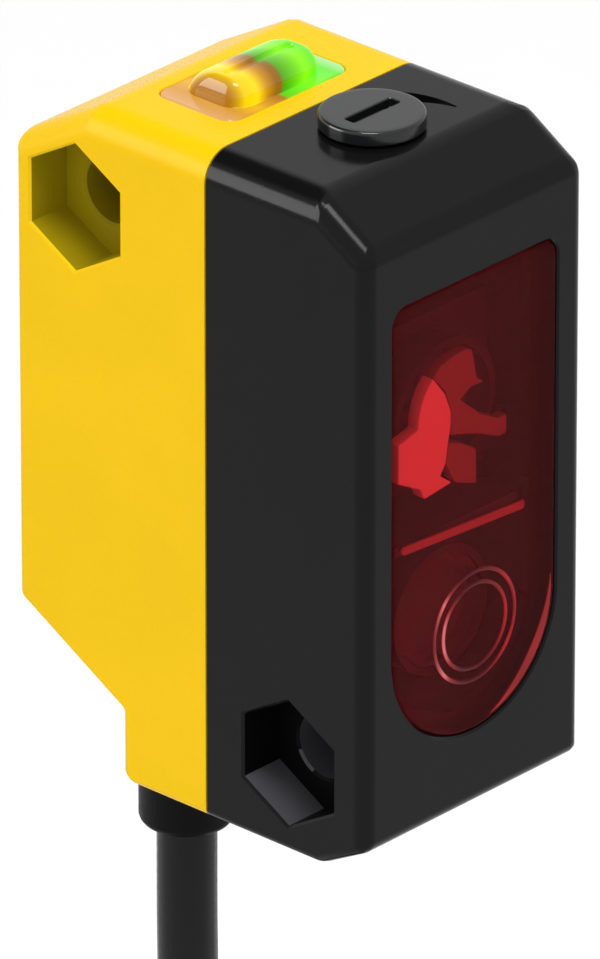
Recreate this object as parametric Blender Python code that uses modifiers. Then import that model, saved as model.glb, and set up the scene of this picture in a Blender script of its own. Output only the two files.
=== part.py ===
"""Photoelectric sensor: a small cubic housing with a window, an adjuster, an indicator and a cable.

Design coordinates are millimetres: x across the width from its middle, y back from the front face,
z up from the top face. The part's own origin is on the +X side face, half way between the screw holes.
"""

import math

import bmesh
import bpy
from mathutils import Matrix, Vector

MM = 0.001

# Driving dimensions, mm
WIDTH = 15.0
DEPTH = 22.0
HEIGHT = 34.0
SEAM = 10.0
SEAM_GAP = 0.10
WALL = 1.1
FRONT_WALL = 1.6
FRONT_TOP_WALL = 1.4
REAR_TOP_WALL = 1.6
TOP_EDGE_R = 1.5
FRONT_EDGE_R = 0.75
SMALL_EDGE_R = 0.4
FRONT_CHAMFER = (3.4, 2.1)
FRONT_TOE = (2.8, 1.5)
REAR_CHAMFER = (4.7, 2.65)
REAR_STEP = 6.6
REAR_STEP_LOW = 3.7
REAR_SLOPE = 3.8
UPPER_INSET = (3.76, 5.25)
LOWER_INSET = (4.86, 4.53)
SCREW_UPPER = (DEPTH - UPPER_INSET[0], -UPPER_INSET[1])
SCREW_LOWER = (LOWER_INSET[0], -HEIGHT + LOWER_INSET[1])
SCREW_BORE_R = 1.65
BOSS_R = 2.6
NUT_FLATS = 5.62
NUT_DEPTH = 2.5
NUT_BOSS_R = 3.65
WINDOW_HALF = 5.64
WINDOW_TOP = -5.4
WINDOW_LENGTH = 23.44
WINDOW_LOW = WINDOW_TOP - WINDOW_LENGTH + WINDOW_HALF
WINDOW_SEAT = 1.0
WINDOW_LEDGE = 0.8
WINDOW_CORNER_R = 0.9
FIT_GAP = 0.06
KNOB_Y = 6.47
KNOB_R = 2.52
KNOB_TOP = 0.85
SHAFT_R = 1.1
SHAFT_GAP = 0.2
SHAFT_BORE_R = SHAFT_R + SHAFT_GAP
SCREW_R = 0.8
RECEIVER_Z = -12.8
EMITTER_Z = -23.3
LENS_R = 2.98
ROD_X = 5.2
ROD_Y = 5.7
ROD_R = 0.5
BOARD_Y = 12.0
BOARD_T = 0.8
DOME_Y = 13.94
DOME_SEAT = (4.15, 2.475)
DOME_TOP = 1.25
DOME_LEAN = 0.4
DOME_END = 1.1
CABLE_Y = SCREW_UPPER[0]
BOOT_R = 2.3
BOOT_NECK_R = 1.9
BOOT_DROP = 5.8
BOOT_END = -HEIGHT - BOOT_DROP
STATIC_GAP = 0.15
CABLE_R = 1.45
COIL_R = 20.3
COIL_Z = -92.0
COIL_LAYERS = 4
COIL_HALF = COIL_LAYERS * CABLE_R
TIE_GAP = 0.3
TIE_T = 0.8

ORIGIN = Vector((WIDTH / 2, (SCREW_UPPER[0] + SCREW_LOWER[0]) / 2, (SCREW_UPPER[1] + SCREW_LOWER[1]) / 2))

FRONT_REAR = SEAM - SEAM_GAP / 2
REAR_FRONT = SEAM + SEAM_GAP / 2
INNER_X = WIDTH / 2 - WALL
STEP_Y = DEPTH - REAR_STEP
STEP_Z = -HEIGHT + REAR_STEP_LOW
SLOPE_Z = STEP_Z + REAR_SLOPE
BOARD_X = INNER_X - 0.8
CHASSIS_X = INNER_X - STATIC_GAP - 0.05

COLOURS = {
    "black": (0.018, 0.018, 0.019, 0.42, 0.0, 1.0),
    "yellow": (0.93, 0.59, 0.012, 0.38, 0.0, 1.0),
    "red_clear": (0.21, 0.008, 0.01, 0.12, 0.0, 0.75),
    "lime_clear": (0.66, 0.72, 0.08, 0.25, 0.0, 0.85),
    "lens": (0.80, 0.82, 0.84, 0.08, 0.0, 0.5),
    "grey": (0.11, 0.11, 0.115, 0.5, 0.0, 1.0),
    "white_plastic": (0.72, 0.70, 0.66, 0.5, 0.0, 1.0),
    "steel": (0.56, 0.57, 0.58, 0.28, 1.0, 1.0),
    "brass": (0.66, 0.46, 0.17, 0.3, 1.0, 1.0),
    "rubber": (0.02, 0.02, 0.02, 0.7, 0.0, 1.0),
    "board": (0.02, 0.12, 0.05, 0.45, 0.0, 1.0),
    "chip": (0.02, 0.02, 0.022, 0.5, 0.0, 1.0),
    "ceramic": (0.50, 0.33, 0.18, 0.45, 0.0, 1.0),
    "amber": (0.90, 0.35, 0.03, 0.2, 0.0, 1.0),
    "green": (0.20, 0.80, 0.10, 0.2, 0.0, 1.0),
    "wire_brown": (0.12, 0.045, 0.02, 0.45, 0.0, 1.0),
    "wire_white": (0.80, 0.80, 0.78, 0.45, 0.0, 1.0),
    "wire_blue": (0.02, 0.09, 0.42, 0.45, 0.0, 1.0),
    "wire_black": (0.015, 0.015, 0.015, 0.45, 0.0, 1.0),
    "cable": (0.022, 0.022, 0.023, 0.5, 0.0, 1.0),
}


def clear_scene():
    for obj in list(bpy.data.objects):
        bpy.data.objects.remove(obj, do_unlink=True)


clear_scene()
PARTS = bpy.data.collections.new("photoelectric_sensor")
TOOLS = bpy.data.collections.new("cutters")
for collection in (PARTS, TOOLS):
    bpy.context.scene.collection.children.link(collection)


def world(point):
    """Design millimetres to the part's own metres."""
    return (Vector(point) - ORIGIN) * MM


def material(obj, colour):
    """Own Principled material in one of the named colours."""
    red, green, blue, rough, metal, alpha = COLOURS[colour]
    made = bpy.data.materials.new(obj.name)
    made.use_nodes = True
    shader = made.node_tree.nodes["Principled BSDF"]
    shader.inputs["Base Color"].default_value = (red, green, blue, 1.0)
    shader.inputs["Roughness"].default_value = rough
    shader.inputs["Metallic"].default_value = metal
    shader.inputs["Alpha"].default_value = alpha
    made.diffuse_color = (red, green, blue, alpha)
    obj.data.materials.append(made)
    return obj


def link(name, mesh, colour):
    """A new object: a part when it has a colour, otherwise a hidden tool."""
    obj = bpy.data.objects.new(name, mesh)
    if colour is None:
        TOOLS.objects.link(obj)
        obj.hide_render = True
        obj.display_type = "WIRE"
        return obj
    PARTS.objects.link(obj)
    return material(obj, colour)


def outline(corners, segments=4):
    """Closed outline with each (a, b, radius) corner turned into an arc."""
    points = []
    count = len(corners)
    for index, (a, b, radius) in enumerate(corners):
        here = Vector((a, b))
        before = (Vector(corners[index - 1][:2]) - here).normalized()
        after = (Vector(corners[(index + 1) % count][:2]) - here).normalized()
        if radius <= 0:
            points.append(here)
            continue
        half = before.angle(after) / 2
        centre = here + (before + after).normalized() * (radius / math.sin(half))
        start = here + before * (radius / math.tan(half)) - centre
        end = here + after * (radius / math.tan(half)) - centre
        sweep = start.angle(end)
        for step in range(segments + 1):
            t = step / segments
            points.append(
                centre + (start * math.sin((1 - t) * sweep) + end * math.sin(t * sweep)) / math.sin(sweep)
            )
    return [(p.x, p.y) for p in points]


def rounded_rectangle(half_a, half_b, radius, centre=(0.0, 0.0), segments=4):
    a, b = centre
    return outline(
        [
            (a + half_a, b - half_b, radius),
            (a + half_a, b + half_b, radius),
            (a - half_a, b + half_b, radius),
            (a - half_a, b - half_b, radius),
        ],
        segments,
    )


def mesh_of(name, vertices, faces, weights=None):
    """Closed mesh from design-millimetre vertices, with optional bevel weights per vertex pair."""
    mesh = bpy.data.meshes.new(name)
    shell = bmesh.new()
    corners = [shell.verts.new(world(v)) for v in vertices]
    for face in faces:
        shell.faces.new([corners[i] for i in face])
    bmesh.ops.recalc_face_normals(shell, faces=shell.faces)
    if weights:
        shell.verts.index_update()
        layer = shell.edges.layers.float.new("bevel_weight_edge")
        for edge in shell.edges:
            key = frozenset(v.index for v in edge.verts)
            edge[layer] = weights.get(key, 0.0)
    shell.to_mesh(mesh)
    shell.free()
    return mesh


AXES = {
    "X": lambda a, b, along: (along, a, b),
    "Y": lambda a, b, along: (a, along, b),
    "Z": lambda a, b, along: (a, b, along),
}


def loft(name, rings, colour=None):
    """Solid skin through rings of matching point counts, capped at both ends."""
    count = len(rings[0])
    vertices = [point for ring in rings for point in ring]
    faces = [list(range(count)), list(range(len(vertices) - count, len(vertices)))]
    for level in range(len(rings) - 1):
        base = level * count
        for i in range(count):
            j = (i + 1) % count
            faces.append([base + i, base + j, base + count + j, base + count + i])
    return link(name, mesh_of(name, vertices, faces), colour)


def prism(name, flat, axis, low, high, colour=None):
    """Flat outline run along one axis between two levels."""
    to_space = AXES[axis]
    rings = [[to_space(a, b, level) for a, b in flat] for level in (low, high)]
    return loft(name, rings, colour)


def box(name, low, high, colour=None):
    flat = [(low[0], low[1]), (high[0], low[1]), (high[0], high[1]), (low[0], high[1])]
    return prism(name, flat, "Z", low[2], high[2], colour)


def turned(name, profile, centre, axis="Z", steps=28, colour=None):
    """Screw-modifier solid from (radius, height) points, heights measured along axis from centre."""
    points = list(profile)
    area = sum(
        a[0] * b[1] - b[0] * a[1] for a, b in zip(points, points[1:] + points[:1])
    )
    if area > 0:
        points.reverse()
    on_axis = points[0][0] == 0.0 or points[-1][0] == 0.0
    if on_axis and points[0][0] != 0.0:
        raise ValueError(name + ": profile must start and end on the axis")
    edges = [(i, i + 1) for i in range(len(points) - 1)]
    if not on_axis:
        edges.append((len(points) - 1, 0))
    mesh = bpy.data.meshes.new(name)
    mesh.from_pydata([(r * MM, 0.0, h * MM) for r, h in points], edges, [])
    obj = link(name, mesh, colour)
    obj.location = world(centre)
    if axis == "Y":
        obj.rotation_euler = (-math.pi / 2, 0.0, 0.0)
    elif axis == "X":
        obj.rotation_euler = (0.0, math.pi / 2, 0.0)
    screw = obj.modifiers.new("turn", "SCREW")
    screw.axis = "Z"
    screw.steps = steps
    screw.render_steps = steps
    screw.use_merge_vertices = True
    screw.merge_threshold = 1e-6
    return obj


def rod(name, radius, centre, axis, low, high, steps=28, colour=None):
    """Plain cylinder along axis between two heights from centre."""
    return turned(
        name, [(0.0, high), (radius, high), (radius, low), (0.0, low)], centre, axis, steps, colour
    )


def combine(target, operation, *tools):
    """Boolean each tool with the target."""
    for tool in tools:
        step = target.modifiers.new(tool.name, "BOOLEAN")
        step.operation = operation
        step.solver = "EXACT"
        step.object = tool
    return target


def cut(target, *tools):
    return combine(target, "DIFFERENCE", *tools)


def join(target, *tools):
    return combine(target, "UNION", *tools)


def set_origin(obj, point):
    """Moves the object's origin to a point on its joint's axis, leaving its shape where it is."""
    here = world(point)
    obj.data.transform(Matrix.Translation(-here))
    obj.location = here
    return obj


def tube(name, points, radius, colour, resolution=2):
    """Round bar along a hand-placed line, as a bevelled poly curve with filled ends."""
    curve = bpy.data.curves.new(name, "CURVE")
    curve.dimensions = "3D"
    curve.bevel_depth = radius * MM
    curve.bevel_resolution = resolution
    curve.use_fill_caps = True
    spline = curve.splines.new("POLY")
    spline.points.add(len(points) - 1)
    for target, point in zip(spline.points, points):
        target.co = (*world(point), 1.0)
    obj = bpy.data.objects.new(name, curve)
    PARTS.objects.link(obj)
    return material(obj, colour)


def smooth_line(points, per_span=4):
    """Catmull-Rom line through the points."""
    ends = [Vector(points[0]) * 2 - Vector(points[1])]
    ends += [Vector(p) for p in points]
    ends.append(Vector(points[-1]) * 2 - Vector(points[-2]))
    line = []
    for a, b, c, d in zip(ends, ends[1:], ends[2:], ends[3:]):
        for step in range(per_span):
            t = step / per_span
            line.append(
                0.5
                * (
                    2 * b
                    + (c - a) * t
                    + (2 * a - 5 * b + 4 * c - d) * t * t
                    + (3 * b - a - 3 * c + d) * t**3
                )
            )
    line.append(Vector(points[-1]))
    return line


def shell_block(name, side, radii, colour, segments=4):
    """Housing block: side outline (y, z) across the width, each side edge rounded by its own radius.

    radii gives, for each outline corner, the radius of the side edge that leaves it and the radius
    of the bend across the width at that corner.
    """
    count = len(side)
    half = WIDTH / 2
    vertices = [(-half, y, z) for y, z in side] + [(half, y, z) for y, z in side]
    faces = [list(range(count)), list(range(count, 2 * count))]
    weights = {}
    widest = max(max(pair) for pair in radii)
    for i in range(count):
        j = (i + 1) % count
        faces.append([i, j, count + j, count + i])
        edge_r, bend_r = radii[i]
        weights[frozenset((i, j))] = edge_r / widest
        weights[frozenset((count + i, count + j))] = edge_r / widest
        weights[frozenset((i, count + i))] = bend_r / widest
    obj = link(name, mesh_of(name, vertices, faces, weights), colour)
    bevel = obj.modifiers.new("edges", "BEVEL")
    bevel.limit_method = "WEIGHT"
    bevel.width = widest * MM
    bevel.segments = segments
    bevel.use_clamp_overlap = False
    return obj


def hexagon(across_flats, centre):
    """Hexagon with a corner up, in the plane of centre's two coordinates."""
    radius = across_flats / math.sqrt(3)
    return [
        (
            centre[0] + radius * math.cos(math.radians(90 + 60 * i)),
            centre[1] + radius * math.sin(math.radians(90 + 60 * i)),
        )
        for i in range(6)
    ]


def window_outline(inset):
    """Outline with rounded upper corners and a half-round lower end, moved in by inset."""
    half = WINDOW_HALF - inset
    radius = WINDOW_CORNER_R - min(inset, 0.4)
    corners = [(half, WINDOW_LOW, 0), (half, WINDOW_TOP - inset, radius)]
    corners += [(-half, WINDOW_TOP - inset, radius), (-half, WINDOW_LOW, 0)]
    points = outline(corners, 4)
    for step in range(1, 20):
        angle = math.pi + math.pi * step / 20
        points.append((half * math.cos(angle), WINDOW_LOW + half * math.sin(angle)))
    return points


def screw_tunnel(target, tag, centre):
    """Boss across the width with a through bore and a nut pocket in the -X side."""
    middle = (0.0, *centre)
    inside = WIDTH / 2 - WALL / 2
    boss = rod(tag + "_boss", BOSS_R, middle, "X", -inside, inside)
    nut_boss = rod(
        tag + "_nut_boss", NUT_BOSS_R, middle, "X", -inside, -WIDTH / 2 + NUT_DEPTH + 1.0, 32
    )
    bore = rod(tag + "_bore", SCREW_BORE_R, middle, "X", -WIDTH, WIDTH, 28)
    pocket = prism(
        tag + "_pocket", hexagon(NUT_FLATS, centre), "X", -WIDTH / 2 - 1.0, -WIDTH / 2 + NUT_DEPTH
    )
    join(target, boss, nut_boss)
    cut(target, bore, pocket)


def front_housing():
    """Black half: window seat, adjuster bore, lower screw tunnel."""
    rear = FRONT_REAR
    back, drop = FRONT_CHAMFER
    toe_y, toe_z = FRONT_TOE
    side = [
        (0.0, -drop), (back, 0.0), (rear, 0.0), (rear, -HEIGHT), (toe_y, -HEIGHT), (0.0, -HEIGHT + toe_z),
    ]
    radii = [(1.1, 0.7), (TOP_EDGE_R, 0.5), (0.0, 0.0), (SMALL_EDGE_R, 0.0), (0.5, 0.4), (FRONT_EDGE_R, 0.4)]
    body = shell_block("front_housing", side, radii, "black")
    skin = WALL * math.hypot(back, drop)
    slope_z = -drop - skin / back
    slope = drop / back
    hollow = prism(
        "front_hollow",
        [
            (FRONT_WALL, slope_z + slope * FRONT_WALL),
            (max(FRONT_WALL + 0.2, (-FRONT_TOP_WALL - slope_z) / slope), -FRONT_TOP_WALL),
            (rear + 1.0, -FRONT_TOP_WALL),
            (rear + 1.0, -HEIGHT + WALL),
            (toe_y + 0.2, -HEIGHT + WALL),
            (FRONT_WALL, -HEIGHT + WALL + 0.7),
        ],
        "X",
        -INNER_X,
        INNER_X,
    )
    cut(body, hollow)
    collar = rod("adjuster_collar", SHAFT_BORE_R + 0.9, (0.0, KNOB_Y, 0.0), "Z", -3.2, -0.9)
    join(body, collar)
    screw_tunnel(body, "lower", SCREW_LOWER)
    seat = prism("window_seat", window_outline(0.0), "Y", -1.0, WINDOW_SEAT)
    aperture = prism("window_aperture", window_outline(WINDOW_LEDGE), "Y", -1.0, FRONT_WALL + 0.3)
    adjuster_bore = rod("adjuster_bore", SHAFT_BORE_R, (0.0, KNOB_Y, 0.0), "Z", -4.0, 1.0)
    cut(body, seat, aperture, adjuster_bore, direction_mark())
    return body


def direction_mark():
    """Curved wedge sunk beside the adjuster, thin at the front and wider towards the rear."""
    outer, inner = [], []
    for step in range(9):
        angle = -18.0 + 50.0 * step / 8
        grow = step / 8
        bulge = 4.5 - 0.42 * min(1.0, max(0.0, (angle + 18.0) / 40.0))
        outer.append((bulge, angle))
        inner.append((bulge - 0.12 - 0.75 * min(1.0, grow * 2.2), angle))
    points = [
        (r * math.cos(math.radians(a)), KNOB_Y + r * math.sin(math.radians(a)))
        for r, a in outer + inner[::-1]
    ]
    return prism("direction_mark", points, "Z", -0.3, 1.0)


def rear_housing():
    """Yellow half: indicator opening, upper screw tunnel, cable hole in the slanted underside."""
    front = REAR_FRONT
    back, drop = REAR_CHAMFER
    side = [
        (front, 0.0), (DEPTH - back, 0.0), (DEPTH, -drop), (DEPTH, SLOPE_Z), (STEP_Y, STEP_Z),
        (STEP_Y, -HEIGHT), (front, -HEIGHT),
    ]
    radii = [
        (TOP_EDGE_R, 0.0), (1.2, 0.4), (SMALL_EDGE_R, 0.4), (SMALL_EDGE_R, 0.4), (SMALL_EDGE_R, 0.3),
        (SMALL_EDGE_R, 0.9), (0.0, 0.0),
    ]
    body = shell_block("rear_housing", side, radii, "yellow")
    roof = drop / back
    roof_z = -WALL * math.hypot(1.0, roof) + roof * (DEPTH - back)
    under = REAR_SLOPE / REAR_STEP
    under_z = SLOPE_Z + WALL * math.hypot(1.0, under)
    hollow = prism(
        "rear_hollow",
        [
            (front - 1.0, -REAR_TOP_WALL),
            ((roof_z + REAR_TOP_WALL) / roof, -REAR_TOP_WALL),
            (DEPTH - WALL, roof_z - roof * (DEPTH - WALL)),
            (DEPTH - WALL, under_z - under * WALL),
            (STEP_Y - WALL, under_z - under * (DEPTH - STEP_Y + WALL)),
            (STEP_Y - WALL, -HEIGHT + WALL),
            (front - 1.0, -HEIGHT + WALL),
        ],
        "X",
        -INNER_X,
        INNER_X,
    )
    cut(body, hollow)
    screw_tunnel(body, "upper", SCREW_UPPER)
    seat = prism(
        "indicator_seat", rounded_rectangle(*DOME_SEAT, 0.8, (0.0, DOME_Y)), "Z", -0.9, 1.0
    )
    slot = prism(
        "indicator_slot",
        rounded_rectangle(DOME_SEAT[0] - 0.5, DOME_SEAT[1] - 0.525, 0.5, (0.0, DOME_Y)),
        "Z",
        -2.2,
        1.0,
    )
    cable_hole = rod(
        "cable_hole", BOOT_NECK_R + 0.1, (0.0, CABLE_Y, SLOPE_Z), "Z", -5.0, 2.5
    )
    cut(body, seat, slot, cable_hole)
    return body


def window():
    return prism("front_window", window_outline(FIT_GAP), "Y", 0.0, WINDOW_SEAT - 0.1, "red_clear")


def indicator_dome():
    """Light cover: plug, flange and a rounded barrel on top."""
    def ring(half_x, half_y, radius, z):
        flat = rounded_rectangle(half_x, half_y, radius, (0.0, DOME_Y), 3)
        return [(x, y, z) for x, y in flat]

    flange_x, flange_y = (size - FIT_GAP for size in DOME_SEAT)
    rings = [
        ring(flange_x - 0.54, flange_y - 0.565, 0.4, -1.5),
        ring(flange_x - 0.54, flange_y - 0.565, 0.4, -0.84),
        ring(flange_x, flange_y, 0.75, -0.84),
        ring(flange_x, flange_y, 0.75, 0.0),
        ring(flange_x - DOME_END, flange_y - 0.565, 1.1, 0.0),
    ]
    for step in range(1, 6):
        angle = math.pi / 2 * step / 5
        fall = math.cos(angle)
        flat = rounded_rectangle(
            flange_x - DOME_END - 0.6 + 0.6 * fall,
            flange_y - 2.0 + 1.435 * fall,
            0.35 + 0.75 * fall,
            (0.0, DOME_Y - DOME_LEAN * math.sin(angle)),
            3,
        )
        rings.append([(x, y, DOME_TOP * math.sin(angle)) for x, y in flat])
    return loft("indicator_dome", rings, "lime_clear")


def adjuster():
    """Slotted knob with its shaft, seal, retaining clip and drive screw, all turning together."""
    centre = (0.0, KNOB_Y, 0.0)
    knob = turned(
        "adjuster_knob",
        [
            (0.0, KNOB_TOP), (KNOB_R - 0.15, KNOB_TOP), (KNOB_R, KNOB_TOP - 0.15), (KNOB_R, 0.12),
            (SHAFT_R, 0.12), (SHAFT_R, -1.6), (SHAFT_R - 0.3, -1.6), (SHAFT_R - 0.3, -2.3),
            (SHAFT_R, -2.3), (SHAFT_R, -3.4), (SHAFT_R - 0.35, -3.4), (SHAFT_R - 0.35, -3.8),
            (SHAFT_R, -3.8), (SHAFT_R, -4.3),
            (SCREW_R, -4.5), (SCREW_R, -9.7), (0.65, -9.9), (0.0, -9.9),
        ],
        centre,
        "Z",
        36,
        "black",
    )
    slot_x = KNOB_R - 0.95
    slot = box(
        "knob_slot", (-slot_x, KNOB_Y - 0.34, KNOB_TOP - 0.5), (slot_x, KNOB_Y + 0.34, KNOB_TOP + 1.0)
    )
    cut(knob, slot)
    groove_r = SHAFT_R - 0.3
    seal_r = (groove_r + SHAFT_BORE_R) / 2
    seal_points = [
        (seal_r + 0.2 * math.cos(math.radians(a)), -1.95 + 0.22 * math.sin(math.radians(a)))
        for a in range(0, 360, 45)
    ]
    turned("adjuster_seal", seal_points, centre, "Z", 20, "rubber")
    clip = turned(
        "retaining_clip",
        [
            (SHAFT_R - 0.25, -3.45), (SHAFT_R + 0.75, -3.45), (SHAFT_R + 0.75, -3.75),
            (SHAFT_R - 0.25, -3.75),
        ],
        centre,
        "Z",
        24,
        "steel",
    )
    mouth = box("clip_mouth", (0.0, KNOB_Y - 0.6, -5.0), (3.0, KNOB_Y + 0.6, -2.0))
    cut(clip, mouth)


def optics():
    """Fixed chassis with guide rods, and the sliding carriage with the receiver lens and nut."""
    ledge_top = RECEIVER_Z - 5.55
    half = CHASSIS_X
    chassis = box(
        "optical_chassis", (-half, SEAM - 1.1, -HEIGHT + 3.0), (half, SEAM - 0.3, -4.0), "grey"
    )
    ledge = box(
        "chassis_rib", (-4.2, 1.2, ledge_top - 0.5), (4.2, SEAM - 0.7, ledge_top)
    )
    holder = rod("emitter_holder", 3.25, (0.0, 0.0, EMITTER_Z), "Y", 2.1, SEAM - 0.7, 32)
    lugs = [
        box(
            f"chassis_lug_{level}_{side}",
            (x - 0.9, ROD_Y - 0.9, low),
            (x + 0.9, SEAM - 0.7, low + 0.8),
        )
        for side, x in (("l", -ROD_X), ("r", ROD_X))
        for level, low in (("top", -5.0), ("low", ledge_top - 0.95))
    ]
    light_hole = rod("receiver_hole", 2.3, (0.0, 0.0, RECEIVER_Z), "Y", SEAM - 2.0, SEAM + 1.0, 28)
    cut(chassis, light_hole)
    join(chassis, ledge, *lugs)
    bore = turned(
        "emitter_bore",
        [(0.0, 1.0), (2.9, 1.0), (2.9, 3.1), (2.55, 3.1), (2.55, SEAM - 1.8), (1.25, SEAM - 1.8),
         (1.25, SEAM + 1.0), (0.0, SEAM + 1.0)],
        (0.0, 0.0, EMITTER_Z),
        "Y",
        32,
    )
    rods = [
        rod(f"rod_hole_{side}", ROD_R + 0.05, (x, ROD_Y, 0.0), "Z", ledge_top - 0.65, -4.4, 16)
        for side, x in (("l", -ROD_X), ("r", ROD_X))
    ]
    cut(chassis, *rods)
    join(chassis, holder)
    cut(chassis, bore)
    for side, x in (("left", -ROD_X), ("right", ROD_X)):
        rod(f"guide_rod_{side}", ROD_R, (x, ROD_Y, 0.0), "Z", ledge_top - 0.55, -4.5, 16, "steel")

    carriage = box("lens_carriage", (-6.15, 4.4, -9.2), (6.15, 8.0, -6.2), "white_plastic")
    plate = box("carriage_plate", (-4.55, 3.4, -17.2), (4.55, 4.7, -8.6))
    ears = [
        box(f"carriage_ear_{side}", (min(x, 0.82 * x), 3.9, -17.2), (max(x, 0.82 * x), 6.7, -15.6))
        for side, x in (("l", -6.1), ("r", 6.1))
    ]
    arms = [
        box(f"carriage_arm_{side}", (min(x, 0.66 * x), 3.6, -17.2), (max(x, 0.66 * x), 4.7, -15.6))
        for side, x in (("l", -6.1), ("r", 6.1))
    ]
    barrel = rod("carriage_barrel", 3.45, (0.0, 0.0, RECEIVER_Z), "Y", 1.9, 4.4, 32)
    join(carriage, plate, *ears, *arms, barrel)
    light = turned(
        "receiver_light",
        [(0.0, 1.0), (3.05, 1.0), (3.05, 3.2), (2.7, 3.2), (2.7, 4.2), (0.9, 4.2), (0.9, 6.0),
         (0.0, 6.0)],
        (0.0, 0.0, RECEIVER_Z),
        "Y",
        32,
    )
    screw_way = rod("screw_way", 1.05, (0.0, KNOB_Y, 0.0), "Z", -10.5, -5.0, 20)
    nut_pocket = box("nut_pocket", (-1.6, KNOB_Y - 1.45, -8.5), (1.6, KNOB_Y + 2.5, -6.6))
    ways = [
        rod(f"rod_way_{side}", ROD_R + 0.06, (x, ROD_Y, 0.0), "Z", -18.0, -5.0, 16)
        for side, x in (("l", -ROD_X), ("r", ROD_X))
    ]
    cut(carriage, light, screw_way, nut_pocket, *ways)
    set_origin(carriage, (0.0, KNOB_Y, -7.7))

    bulge = [(0.0, 1.25)] + [(2.6 * step / 5, 1.25 + 0.75 * (step / 5) ** 2) for step in range(1, 6)]
    turned(
        "receiver_lens",
        bulge + [(LENS_R, 2.0), (LENS_R, 3.1), (0.0, 3.1)],
        (0.0, 0.0, RECEIVER_Z),
        "Y",
        32,
        "lens",
    )
    nut = box("drive_nut", (-1.5, KNOB_Y - 1.35, -8.4), (1.5, KNOB_Y + 1.35, -6.7), "brass")
    cut(nut, rod("nut_bore", SCREW_R + 0.06, (0.0, KNOB_Y, 0.0), "Z", -9.0, -6.0, 24))
    set_origin(nut, (0.0, KNOB_Y, -7.7))

    bulge = [(0.0, 1.45)] + [(2.45 * step / 5, 1.45 + 0.7 * (step / 5) ** 2) for step in range(1, 6)]
    turned(
        "emitter_lens",
        bulge + [(2.82, 2.15), (2.82, 3.0), (0.0, 3.0)],
        (0.0, 0.0, EMITTER_Z),
        "Y",
        32,
        "lens",
    )


def board_back_part(name, x, z, half_x, half_z, height, colour, legs=()):
    """Small component on the back of the main board, with legs as (x, half width) in two rows."""
    base = BOARD_Y + BOARD_T + 0.1
    body = box(name, (x - half_x, base + 0.1, z - half_z), (x + half_x, base + height, z + half_z), colour)
    for index, (leg_x, leg_side) in enumerate(legs):
        low, high = sorted((z + leg_side * (half_z - 0.1), z + leg_side * (half_z + 0.55)))
        leg = box(f"{name}_leg_{index}", (leg_x - 0.2, base, low), (leg_x + 0.2, base + 0.35, high))
        join(body, leg)
    return body


def electronics():
    """Boards, light source, receiver, driver parts and indicator lamps."""
    board = box(
        "main_board",
        (-BOARD_X, BOARD_Y, -HEIGHT + 5.0),
        (BOARD_X, BOARD_Y + BOARD_T, -3.7),
        "board",
    )
    for index, x in enumerate((-3.0, -1.0, 1.0, 3.0)):
        hole = rod(f"pad_hole_{index}", 0.45, (x, BOARD_Y, SLOPE_Z + 0.1), "Y", -1.0, 2.0, 12)
        cut(board, hole)
    diode = box(
        "photodiode", (-1.7, 10.6, RECEIVER_Z - 1.7), (1.7, BOARD_Y - 0.1, RECEIVER_Z + 1.7), "chip"
    )
    cut(diode, rod("diode_face", 1.2, (0.0, 0.0, RECEIVER_Z), "Y", 10.0, 10.9, 20))
    led = turned(
        "emitter_led",
        [
            (0.0, 7.9), (0.5, 8.0), (0.87, 8.35), (1.05, 8.9), (1.05, 10.9), (1.6, 10.9),
            (1.6, BOARD_Y - 0.1), (0.0, BOARD_Y - 0.1),
        ],
        (0.0, 0.0, EMITTER_Z),
        "Y",
        24,
        "lens",
    )
    led.name = "emitter_led"
    board_back_part(
        "control_chip", 0.0, -12.4, 2.0, 1.8, 1.0, "chip",
        [(x, side) for x in (-1.5, -0.5, 0.5, 1.5) for side in (-1, 1)],
    )
    board_back_part(
        "voltage_regulator", -2.9, -7.9, 1.5, 1.2, 1.4, "chip", [(x, -1) for x in (-3.9, -2.9, -1.9)]
    )
    for kind, x in (("npn", -2.8), ("pnp", 2.8)):
        legs = [(x - 0.9, -1), (x + 0.9, -1), (x, 1)]
        board_back_part(f"output_transistor_{kind}", x, -17.2, 1.4, 0.65, 1.1, "chip", legs)
    board_back_part("capacitor_a", -2.8, -20.6, 1.6, 0.8, 1.3, "ceramic")
    board_back_part("capacitor_b", 2.8, -20.6, 1.6, 0.8, 1.3, "ceramic")

    box("indicator_board", (-3.5, 12.15, -3.45), (3.5, 15.45, -2.65), "board")
    for tag, x in (("amber", -2.2), ("green", 2.2)):
        lamp = box(
            f"indicator_led_{tag}", (x - 0.8, DOME_Y - 0.5, -2.55), (x + 0.8, DOME_Y + 0.5, -2.15), tag
        )
        join(lamp, box(f"{tag}_lens", (x - 0.5, DOME_Y - 0.5, -2.3), (x + 0.5, DOME_Y + 0.5, -1.75)))


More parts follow.
